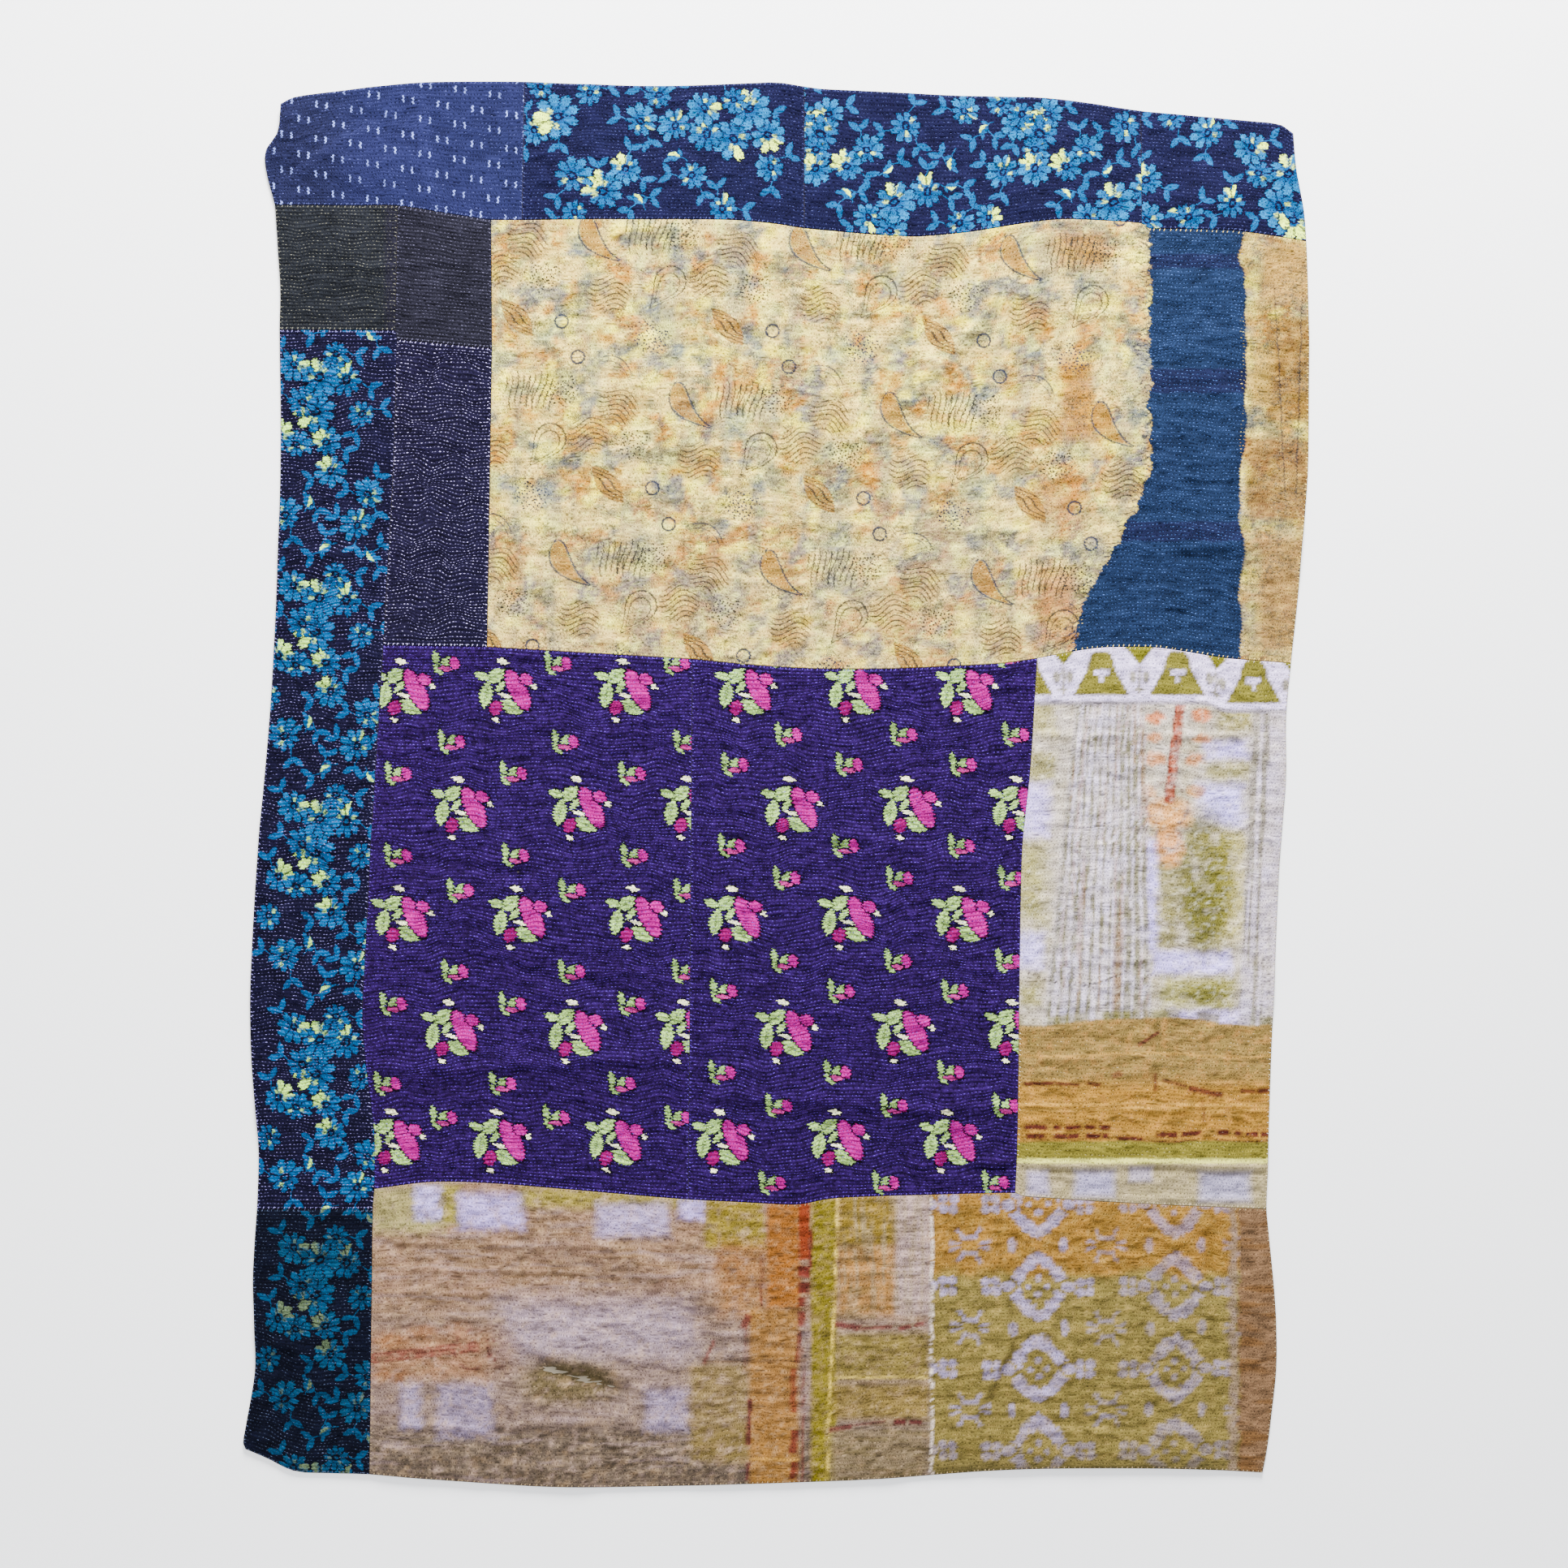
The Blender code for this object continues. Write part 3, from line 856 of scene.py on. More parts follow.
def flower(paint, x, y, kind, seed, colour, deep, tip, pale, dark):
    """A daisy, bud or pair of leaves in its own square from -1 to 1. Returns its colour and mask."""
    r = paint.length(x, y)
    turn = paint.math("ARCTAN2", y, x) * (1 / (2 * math.pi))
    fan = turn * 9.0 + seed * 7.0
    petal = paint.size(paint.part(fan) - 0.5)
    which = paint.whole(fan)
    uneven = paint.sine(which * 12.9 + seed * 40.0)
    bulge = paint.high(0.0, 1.0 - petal * petal * 3.6)
    notch = paint.step(petal, 0.1, 0.0) * 0.08
    reach = 0.52 + 0.42 * bulge - notch + 0.16 * uneven
    daisy = paint.step(r - reach, 0.04, -0.04)
    halo = paint.step(r - reach, 0.14, 0.05)
    split = paint.step(petal + (0.8 - r) * 0.12, 0.38, 0.46) * paint.step(r, 0.25, 0.4)
    side = paint.sine(turn * 6.28 + seed * 17.0)
    cream = paint.step(side + 0.45 * uneven, 1.08, 1.2) * paint.step(r, 0.3, 0.42)
    inner = paint.step(paint.size(side - 0.45), 0.3, 0.1) * paint.step(r, 0.62, 0.46)
    inner = inner * paint.step(r, 0.26, 0.32)
    tone = paint.mix(paint.step(r, 0.25, 0.5), deep, colour)
    tone = paint.mix(paint.step(r + 0.2 * uneven, 0.62, 0.95) * 0.2, tone, tip)
    tone = paint.mix(paint.high(cream, inner * 0.6), tone, pale)
    tone = paint.mix(split * 0.85, tone, dark)
    ring = paint.size(paint.length(x, y * 1.3) - 0.2)
    tone = paint.mix(paint.step(ring, 0.1, 0.05), tone, dark)
    tone = paint.mix(daisy, dark, tone)
    bud = leaf(paint, x, y, 0.0, 0.1, 90, 0.75, 0.5)
    stalk = paint.high(paint.size(x + 0.3 * (y - 0.6) * (y - 0.6)) - 0.05, paint.size(y - 1.1) - 0.7)
    upper = leaf(paint, x, y, -0.45, -0.5, 50, 0.5, 0.22)
    leaves = paint.low(upper, leaf(paint, x, y, 0.45, 0.75, -30, 0.45, 0.2))
    sprig = paint.low(paint.low(bud, leaves) - 1.0, stalk * 8.0)
    sprig_mask = paint.step(sprig, 0.12, -0.12)
    bud_tone = paint.mix(paint.step(bud, 0.95, 0.8) * paint.step(x, -0.05, 0.12), colour, pale)
    upper = leaf(paint, x, y, 0.2, -0.45, -35, 0.75, 0.3)
    pair = paint.low(upper, leaf(paint, x, y, 0.1, 0.5, 55, 0.66, 0.28))
    twig = paint.high(paint.size(y + 0.25 * x * x - 0.05) - 0.05, paint.size(x + 0.5) - 0.7)
    pair = paint.low(pair - 1.0, twig * 8.0)
    pair_mask = paint.step(pair, 0.12, -0.12)
    is_bud = paint.step(kind, 0.4, 0.6)
    is_leaf = paint.step(kind, 1.4, 1.6)
    mask = halo * (1.0 - is_bud) + sprig_mask * (is_bud - is_leaf) + pair_mask * is_leaf
    tone = paint.mix(is_bud, tone, bud_tone)
    tone = paint.mix(is_leaf, tone, colour)
    return tone, mask


def floral_print(paint, ground, ground_light, colour, deep, tip, pale):
    """Turquoise daisies, buds and leaves over a navy ground."""
    tone = paint.mix(paint.noise(paint.across, paint.down, 30.0, 3.0), ground, ground_light)
    for layer in ("b", "a"):
        x, y = paint.uv("motif_" + layer)
        kind, seed = paint.uv("kind_" + layer)
        x = x + paint.dx * 0.07
        y = y + paint.dy * 0.07
        picture, mask = flower(paint, x, y, kind, seed, colour, deep, tip, pale, ground)
        tone = paint.mix(mask, tone, picture)
    return tone


def turned(x, y, cx, cy, turn, length, width):
    """Places measured from cx, cy along and across a direction in degrees, in parts of length and width."""
    cos, sin = math.cos(math.radians(turn)), math.sin(math.radians(turn))
    u = (x - cx) * (cos / length) + (y - cy) * (sin / length)
    v = (y - cy) * (cos / width) - (x - cx) * (sin / width)
    return u, v


def leaf(paint, x, y, cx, cy, turn, length, width):
    """Below 1 inside a shape pointed at both ends."""
    u, v = turned(x, y, cx, cy, turn, length, width)
    return u * u + paint.size(v)


def oval(paint, x, y, cx, cy, turn, length, width):
    """Below 1 inside an oval."""
    return paint.length(*turned(x, y, cx, cy, turn, length, width))


# One part of a bloom or sprig a row, in mm from its middle.
Part = namedtuple("Part", "form colour across down turn length width")
BLOOM = [
    Part(leaf, "#cdd6b4", -11, -19, -35, 14, 8),
    Part(leaf, "#cdd6b4", -28, -19, 20, 10, 5),
    Part(leaf, "#cdd6b4", -23, 4, 100, 17, 8),
    Part(leaf, "#cdd6b4", -5, -6, -50, 10, 4),
    Part(leaf, "#cdd6b4", 8, 19, 28, 16, 8),
    Part(leaf, "#e9e8dc", 1, 5, 15, 10, 2.5),
    Part(leaf, "#e9e8dc", -3, -37, 15, 8, 3.5),
    Part(oval, "#e9e8dc", -11, 35, 20, 4.5, 2.6),
    Part(leaf, "#e9e8dc", 35, -7, 40, 6, 3),
    Part(oval, HOT_PINK, 16, -2, 63, 27, 10.5),
    Part(oval, HOT_PINK, 26, -15, 30, 8.5, 6.5),
    Part(oval, (0.2, 0.0, 0.085), -11, 20, 110, 9, 7.5),
]
SPRIG = [
    Part(leaf, "#c4cea8", -11, -6, 80, 10, 4),
    Part(leaf, "#c4cea8", -8, 8, 50, 9, 4),
    Part(leaf, "#c4cea8", 2, -2, -40, 9, 5),
    Part(leaf, "#d47fb4", 1, 7, 10, 9, 3),
    Part(oval, HOT_PINK, 12, 0, 70, 8, 5.5),
]


def purple_print(paint):
    """Pink blooms with pale leaves, and small sprigs, over purple."""
    worn = paint.noise(paint.across, paint.down, 7.0, 2.0, 0.7)
    tone = paint.mix(paint.step(worn, 0.35, 0.65), "#2e2059", "#463485")
    x, y = paint.uv("motif_a")
    kind, _ = paint.uv("kind_a")
    x = x + paint.dx * 2.0
    y = y + paint.dy * 2.0 - 2.0
    dark = "#120c20"
    for parts, share in ((BLOOM, paint.step(kind, 0.6, 0.4)), (SPRIG, paint.step(kind, 0.4, 0.6))):
        for p in parts:
            inside = p.form(paint, x, y, p.across, p.down, p.turn, p.length, p.width)
            band = 1.7 / p.width
            tone = paint.mix(paint.step(inside, 1.0 + 1.3 * band, 1.0 + 0.6 * band) * share, tone, dark)
            tone = paint.mix(paint.step(inside, 1.06, 0.92) * share, tone, p.colour)
            if p.form is leaf and p.width > 5:
                across = leaf(paint, x, y, p.across, p.down, p.turn, p.length * 0.85, 1.3)
                tone = paint.mix(paint.step(across, 1.1, 0.7) * share * 0.6, tone, dark)
    return tone


# Shapes of one colour, laid over what is under them with that share.
Line = namedtuple("Line", "across_1 down_1 across_2 down_2 width colour share")
Block = namedtuple("Block", "left top right bottom soft colour share")
Spot = namedtuple("Spot", "across down half_width half_height soft colour share")


def draw_blocks(paint, tone, x, y, rows):
    for b in rows:
        wide = paint.size(x - (b.left + b.right) / 2) - (b.right - b.left) / 2
        tall = paint.size(y - (b.top + b.bottom) / 2) - (b.bottom - b.top) / 2
        tone = paint.mix(paint.step(paint.high(wide, tall), b.soft, -b.soft) * b.share, tone, b.colour)
    return tone


def draw_spots(paint, tone, x, y, rows):
    for s in rows:
        r = paint.length((x - s.across) * (1 / s.half_width), (y - s.down) * (1 / s.half_height))
        tone = paint.mix(paint.step(r, 1 + s.soft, 1 - s.soft) * s.share, tone, s.colour)
    return tone


def to_line(paint, x, y, line):
    """How far places lie outside a line's width, and how far off its middle."""
    dx, dy = line.across_2 - line.across_1, line.down_2 - line.down_1
    length = math.hypot(dx, dy)
    along = (x - line.across_1) * (dx / length) + (y - line.down_1) * (dy / length)
    off = (y - line.down_1) * (dx / length) - (x - line.across_1) * (dy / length)
    return paint.high(paint.size(off) - line.width / 2, paint.size(along - length / 2) - length / 2), off


def draw_lines(paint, tone, x, y, rows, soft=1.0):
    for line in rows:
        out, _ = to_line(paint, x, y, line)
        tone = paint.mix(paint.step(out, soft, -soft) * line.share, tone, line.colour)
    return tone


def streaks(paint, x, y, across, along, start, end):
    """Uneven lines that run with y, across mm apart and along mm long."""
    return paint.step(paint.noise(x * (1 / across), y * (1 / along), 1.0, 1.0), start, end)


def mottle(paint, x, y, tone, shares):
    """Worn patches and flecks over a printed ground: pale and dark colour, size in mm and strength."""
    for pale, dark, size, strength in shares:
        lumps = paint.noise(x, y, size, 3.0, 0.65)
        tone = paint.mix(paint.step(lumps, 0.5, 0.72) * strength, tone, pale)
        tone = paint.mix(paint.step(lumps, 0.5, 0.28) * strength, tone, dark)
    return tone


RIGHT_PATCHES = [
    Block(1255, 868, 1300, 905, 9, "#c9c08a", 0.7),
    Block(1258, 925, 1300, 962, 8, "#b9b060", 0.7),
    Block(1250, 966, 1292, 1030, 10, "#d9d6e8", 0.8),
    Block(1250, 1042, 1290, 1140, 14, "#c4bc86", 0.75),
    Block(1250, 1150, 1285, 1192, 8, "#d9d8ec", 0.8),
    Block(1250, 1212, 1282, 1240, 8, "#b9b060", 0.7),
    Block(1486, 914, 1536, 934, 8, "#d6d4ea", 0.8),
    Block(1486, 940, 1540, 962, 9, "#bdb46c", 0.7),
    Block(1478, 968, 1530, 1020, 12, "#d7d6ea", 0.9),
    Block(1490, 1020, 1535, 1160, 14, "#cfc79c", 0.8),
    Block(1410, 1035, 1425, 1170, 5, "#d6d4e8", 0.8),
    Block(1428, 1060, 1450, 1166, 7, "#b5ab5c", 0.75),
    Block(1420, 1172, 1515, 1200, 7, "#d7d5ea", 0.85),
    Block(1430, 1203, 1520, 1245, 9, "#c2ba78", 0.8),
    Block(1440, 1245, 1530, 1262, 6, "#dad8ec", 0.8),
    Block(1500, 872, 1545, 902, 8, "#b9ae5a", 0.7),
]
RIGHT_BLOTS = [
    Spot(1484, 1085, 36, 92, 0.25, "#a69b34", 0.85),
    Spot(1482, 1112, 24, 56, 0.35, "#958d24", 0.75),
    Spot(1487, 1224, 30, 12, 0.4, "#a59b3c", 0.8),
    Spot(1424, 884, 12, 8, 0.35, "#e3a955", 0.8),
    Spot(1481, 882, 13, 8, 0.35, "#e3a955", 0.8),
    Spot(1422, 908, 10, 6, 0.4, "#dfae6a", 0.7),
    Spot(1480, 910, 11, 6, 0.4, "#dfae6a", 0.7),
    Spot(1424, 936, 13, 9, 0.4, "#e0b070", 0.7),
    Spot(1472, 936, 11, 9, 0.4, "#e0b070", 0.7),
    Spot(1412, 975, 11, 9, 0.4, "#dcb878", 0.7),
    Spot(1474, 975, 11, 8, 0.4, "#dcb878", 0.7),
    Spot(1438, 1002, 30, 20, 0.35, "#e2c084", 0.75),
    Spot(1440, 1042, 17, 26, 0.35, "#dfb87e", 0.75),
]
BAND_LINES = [
    Line(1261, 1335, 1300, 1334, 5, "#762c22", 0.9),
    Line(1302, 1335, 1330, 1337, 4, "#762c22", 0.9),
    Line(1340, 1335, 1356, 1336, 5, "#762c22", 0.85),
    Line(1370, 1326, 1382, 1322, 8, "#8f4630", 0.7),
    Line(1423, 1322, 1424, 1345, 5, "#762c22", 0.8),
    Line(1432, 1331, 1462, 1339, 4, "#96503a", 0.7),
    Line(1464, 1341, 1506, 1349, 7, "#762826", 0.85),
    Line(1528, 1345, 1548, 1345, 5, "#762826", 0.8),
    Line(1550, 1345, 1572, 1344, 6, "#762826", 0.9),
    Line(1402, 1288, 1428, 1272, 5, "#8c4038", 0.8),
    Line(1482, 1355, 1484, 1384, 3, "#8c5038", 0.7),
]


def right_print(paint):
    """Pale striped cloth with olive blots, a row of domes at its top and an ochre band below."""
    x, y = paint.x, paint.y
    ragged = (paint.noise(paint.across, paint.down, 14.0, 3.0, 0.6) - 0.5) * 20.0
    wide_x, wide_y = x + ragged, y + ragged * 0.6
    tone = paint.mix(paint.noise(x, y, 30.0, 2.0), "#c9bfa0", "#d8d4d4")
    tone = draw_blocks(paint, tone, wide_x, wide_y, RIGHT_PATCHES)
    tone = draw_spots(paint, tone, wide_x, wide_y, RIGHT_BLOTS)
    left = 1325.0 - (y - 870.0) * 0.103
    share = (x - left) / ((y - 870.0) * 0.123 + 86.0)
    zone = paint.step(share, -0.02, 0.06) * paint.step(share, 1.02, 0.96)
    tone = paint.mix(zone * 0.85, tone, paint.mix(paint.noise(x, y, 25.0), "#cfc9c2", "#dcdbe4"))
    run = share * 11.0 + (paint.noise(share * 4.0, y, 60.0, 1.0) - 0.5) * 0.5
    width = 0.16 + 0.2 * chance(paint.whole(run), 3.1)
    lines = paint.step(paint.size(paint.part(run) - 0.5) - width, 0.06, -0.06)
    lines = lines * (0.55 + 0.45 * paint.step(paint.noise(x, y, 30.0, 2.0), 0.35, 0.55))
    tone = paint.mix(lines * zone * 0.9, tone, "#a39b70")
    faint = streaks(paint, share + 7.0, y, 0.05, 260.0, 0.56, 0.66)
    tone = paint.mix(faint * zone * 0.6, tone, "#c2a890")
    second = x - 1545.0 + (y - 870.0) * 0.05
    zone = paint.step(second, -2.0, 2.0)
    tone = paint.mix(zone * 0.8, tone, paint.mix(paint.noise(x, y, 25.0), "#d0cac4", "#dad8e2"))
    tone = paint.mix(streaks(paint, second, y, 7.0, 600.0, 0.5, 0.6) * zone * 0.8, tone, "#a39a78")
    out, off = to_line(paint, x, y, Line(1455, 862, 1440, 990, 13, "", 1))
    thread = paint.step(paint.size(paint.part(off * 0.2) - 0.5), 0.12, 0.3)
    tone = paint.mix(paint.step(out, 1.2, -1.2), tone, paint.mix(thread, "#d0a088", "#bd6a4e"))
    for cx, cy, r, low, high in ((1438, 992, 25, -30, 24), (1439, 1030, 15, -8, 26)):
        ring = paint.size(paint.length(x - cx, (y - cy) * 0.9) - r) - 2.0
        broken = paint.step(paint.noise(x, y, 7.0, 1.0), 0.45, 0.55)
        upper = paint.step(y - cy, low - 1.0, low + 1.0) * paint.step(y - cy, high + 1.0, high - 1.0)
        tone = paint.mix(paint.step(ring, 1.0, -1.0) * broken * upper * 0.85, tone, "#9c5646")
    tone = mottle(paint, x, y, tone, [("#e2dedc", "#b0a684", 24.0, 0.3), ("#ebe6e2", "#9c9272", 7.0, 0.22)])
    tone = draw_domes(paint, tone, x, y)
    arc = paint.size(y - 1196.0 - 18.0 * paint.sine((x - 1262.0) * 0.0245)) - 0.8
    dashes = paint.step(paint.size(paint.part(x * 0.16) - 0.5), 0.24, 0.3)
    inside = paint.step(x, 1264.0, 1266.0) * paint.step(x, 1390.0, 1388.0)
    tone = paint.mix(paint.step(arc, 0.9, -0.3) * dashes * inside, tone, "#544a40")
    return band_print(paint, tone, x, y)


def draw_domes(paint, tone, x, y):
    """The printed row along the top: olive domes with a notch, on a pale ground with small pendants."""
    row = y - paint.step(x, 1480.0, 1515.0) * 10.0
    here = paint.step(row, 870.0, 866.0)
    ground = paint.mix(paint.noise(x, y, 16.0, 2.0), "#d2cfdc", "#e2e0ea")
    tone = paint.mix(here, tone, ground)
    off = paint.fold(x, 1357.0, 94.0)
    head = 17.0 * paint.root(1 - np.clip((824 - row) / 24, 0, 1) ** 2)
    half = head + 17.0 * np.clip((row - 824) / 31, 0, 1)
    body = paint.step(off - half, 1.4, -1.4) * paint.step(row, 801, 804) * paint.step(row, 858, 855)
    notch = paint.step(paint.high(off - 9.0, paint.size(row - 828.5) - 3.4), 1.2, -1.2)
    slit = paint.step(paint.high(off - 2.0, paint.size(row - 836.0) - 5.0), 1.2, -1.2)
    notch = paint.high(notch, slit * 0.7)
    olive = paint.mix(paint.noise(x, y, 7.0, 3.0, 0.7), "#958c3c", "#b8ae6c")
    tone = paint.mix(body * (1 - notch) * here, tone, olive)
    between = 47.0 - off
    point = paint.step(between - (820.0 - row) * 0.8, 1.5, -1.5) * paint.step(row, 822, 818)
    stem = paint.step(between - 2.4, 1.2, -1.2) * paint.step(row, 820, 824) * paint.step(row, 846, 842)
    star = paint.low(between, paint.size(row - 850)) * 1.4 + paint.high(between, paint.size(row - 850)) * 0.5
    drops = paint.step(paint.length(between - 8.0, (row - 834.0) * 0.6), 6.0, 3.5)
    small = paint.high(paint.high(point, stem * 0.7), paint.high(paint.step(star, 5.0, 3.4), drops) * 0.8)
    tone = paint.mix(small * here, tone, "#aaa148")
    line = paint.step(paint.size(row - 866.0) - 2.4, 1.6, -1.0)
    return paint.mix(line * 0.7, tone, "#9a9058")


# The maroon dashes of the ochre band, each from its left to its right end.
Dash = namedtuple("Dash", "left right down")
DASHES = [
    Dash(1262, 1290, 1389), Dash(1297, 1307, 1389), Dash(1313, 1332, 1389), Dash(1337, 1350, 1389),
    Dash(1355, 1368, 1389), Dash(1264, 1288, 1400), Dash(1298, 1330, 1400), Dash(1338, 1366, 1400),
    Dash(1376, 1408, 1404), Dash(1425, 1450, 1397), Dash(1455, 1480, 1397), Dash(1500, 1515, 1397),
    Dash(1522, 1530, 1397), Dash(1535, 1550, 1397), Dash(1553, 1565, 1397), Dash(1426, 1476, 1408),
    Dash(1498, 1564, 1408), Dash(1572, 1588, 1397),
]


def band_print(paint, tone, x, y):
    """The ochre band with maroon dashes, the olive strip and the pale band under it."""
    drift = (paint.noise(x, y, 55.0, 1.0) - 0.5) * 6.0
    down = y + drift
    arch = 1262.0 - 10.0 * paint.sine(np.clip((x - 1290.0) / 250.0, 0, 1) * math.pi)
    olive = paint.mix(paint.noise(x, y, 14.0, 3.0), "#9c9348", "#b4ab74")
    some = paint.step(paint.noise(x, y * 0.2, 40.0, 1.0), 0.42, 0.55)
    corner = paint.step(down, arch - 12, arch - 6) * some
    tone = paint.mix(corner * 0.8, tone, olive)
    upper = paint.mix(paint.noise(x, y * 1.6, 20.0, 3.0, 0.6), "#ad9c60", "#ccb48c")
    lower = paint.mix(paint.noise(x, y * 2.5, 24.0, 3.0, 0.6), "#bb9c58", "#d4b57c")
    ochre = paint.mix(paint.step(down, 1322.0, 1345.0), upper, lower)
    ochre = paint.mix(streaks(paint, y, x, 3.4, 70.0, 0.5, 0.6) * 0.4, ochre, "#8a7040")
    # Pale lines along the creases: painted highlight on their ridges.
    for where in (1360.0, 1367.0, 1300.0):
        crease = paint.size(down - where - 2.0 * paint.sine(x * 0.03)) - 1.0
        ochre = paint.mix(paint.step(crease, 1.4, -0.8) * 0.5, ochre, "#dcc79c")
    ochre = mottle(paint, x, y, ochre, [("#d8b98e", "#86703c", 11.0, 0.4)])
    tone = paint.mix(paint.step(down, arch, arch + 3.0), tone, ochre)
    tone = draw_lines(paint, tone, x, down, BAND_LINES, 1.4)
    for d in DASHES:
        wide = paint.size(x - (d.left + d.right) / 2) - (d.right - d.left) / 2
        dash = paint.step(paint.high(wide, paint.size(down - d.down) - 3.2), 1.3, -1.3)
        tone = paint.mix(dash * paint.step(paint.noise(x, y, 6.0), 0.2, 0.4) * 0.95, tone, "#752c28")
    strip = paint.mix(paint.noise(x, y * 2.0, 12.0, 3.0, 0.65), "#948a3a", "#bcb06e")
    tone = paint.mix(paint.step(down, 1405.0, 1408.0), tone, strip)
    pale = paint.mix(paint.noise(x, y, 12.0, 3.0, 0.6), "#b8ae84", "#d2cabc")
    tone = paint.mix(paint.step(y, 1427.0, 1436.0), tone, pale)
    lavender = [
        Block(1266, 1443, 1292, 1472, 6, "#cfccd8", 0.85),
        Block(1325, 1443, 1371, 1474, 8, "#c9c8d6", 0.85),
        Block(1478, 1445, 1540, 1480, 8, "#c9c8d4", 0.85),
        Block(1392, 1438, 1420, 1456, 5, "#cbc8d2", 0.7),
    ]
    tone = draw_blocks(paint, tone, x + drift * 2.0, y, lavender)
    # A pale line along the tuck at 1430 mm down: painted highlight on its ridge.
    return paint.mix(paint.step(paint.size(y - 1430.0), 4.0, 1.5) * 0.9, tone, "#dcd8b4")


LOW_PATCHES = [
    Block(459, 1462, 545, 1518, 10, "#c6bf9c", 0.8),
    Block(511, 1462, 543, 1502, 6, "#d2cfe2", 0.9),
    Block(545, 1460, 566, 1508, 6, "#c2b878", 0.8),
    Block(566, 1472, 645, 1513, 8, "#d0cce0", 0.9),
    Block(640, 1462, 868, 1488, 9, "#bfb36c", 0.8),
    Block(736, 1484, 822, 1522, 9, "#ccc8d8", 0.8),
    Block(838, 1478, 870, 1503, 6, "#cfcbe0", 0.85),
    Block(616, 1600, 852, 1668, 22, "#c6bcc4", 0.8),
    Block(459, 1640, 600, 1700, 14, "#c9a67c", 0.6),
    Block(494, 1706, 518, 1760, 7, "#c4becd", 0.8),
    Block(540, 1706, 607, 1770, 9, "#bfb8c8", 0.8),
    Block(796, 1712, 845, 1762, 9, "#c4bdcb", 0.8),
    Block(850, 1680, 925, 1800, 8, "#b09a5c", 0.75),
    Block(868, 1474, 942, 1536, 5, "#b7a548", 0.9),
    Block(885, 1530, 945, 1620, 12, "#c59c62", 0.6),
]
LOW_BANDS = [
    Block(945, 1460, 986, 1612, 4, "#c08a3c", 0.95),
    Block(923, 1612, 984, 1840, 5, "#bf9858", 0.9),
    Block(999, 1460, 1031, 1840, 3, "#ab9a2c", 0.95),
    Block(1033, 1460, 1110, 1535, 6, "#b9a148", 0.9),
    Block(1033, 1536, 1104, 1620, 8, "#c9a76c", 0.8),
    Block(1104, 1460, 1146, 1620, 6, "#cdc2c0", 0.9),
    Block(1030, 1642, 1146, 1700, 7, "#ad9a48", 0.85),
    Block(1026, 1705, 1146, 1748, 7, "#b6a05c", 0.85),
    Block(1022, 1758, 1142, 1840, 7, "#a8977c", 0.85),
]
LOW_LINES = [
    Line(991, 1470, 991, 1552, 13, "#b4551f", 0.95),
    Line(1000, 1515, 998, 1562, 4, "#93301f", 0.9),
    Line(991, 1560, 990, 1574, 14, "#98301f", 0.9),
    Line(991, 1580, 990, 1594, 13, "#93301f", 0.9),
    Line(988, 1598, 988, 1610, 10, "#93301f", 0.9),
    Line(988, 1616, 987, 1634, 9, "#9a3a22", 0.85),
    Line(986, 1640, 982, 1680, 5, "#9a4028", 0.8),
    Line(978, 1686, 977, 1740, 8, "#a5502f", 0.8),
    Line(979, 1762, 977, 1790, 10, "#92342a", 0.85),
    Line(980, 1800, 976, 1822, 9, "#92342a", 0.85),
    Line(990, 1660, 989, 1832, 3, "#9a4a34", 0.6),
    Line(939, 1546, 938, 1610, 3, "#94402a", 0.85),
    Line(923, 1620, 915, 1637, 9, "#9a4432", 0.8),
    Line(880, 1652, 866, 1682, 4, "#a05040", 0.7),
    Line(924, 1724, 922, 1780, 6, "#7c2c34", 0.85),
    Line(920, 1640, 918, 1690, 3, "#96543c", 0.7),
    Line(922, 1800, 920, 1824, 5, "#7c3034", 0.8),
    Line(870, 1678, 992, 1677, 3, "#8a6440", 0.6),
    Line(1028, 1631, 1060, 1637, 7, "#94403a", 0.85),
    Line(1062, 1637, 1100, 1635, 4, "#94403a", 0.75),
    Line(1108, 1637, 1122, 1634, 6, "#94403a", 0.85),
    Line(1126, 1633, 1140, 1630, 5, "#94403a", 0.8),
    Line(1022, 1762, 1050, 1757, 6, "#8c3a38", 0.8),
    Line(1052, 1756, 1090, 1752, 3, "#8c4a40", 0.7),
    Line(1100, 1752, 1116, 1752, 7, "#862f30", 0.85),
    Line(1120, 1752, 1136, 1753, 6, "#862f30", 0.85),
    Line(1033, 1475, 1018, 1830, 1.6, "#e2d6ae", 0.9),
    Line(1030, 1697, 1146, 1697, 2.5, "#dccfa6", 0.8),
    Line(925, 1797, 985, 1798, 3, "#d8be8c", 0.7),
]


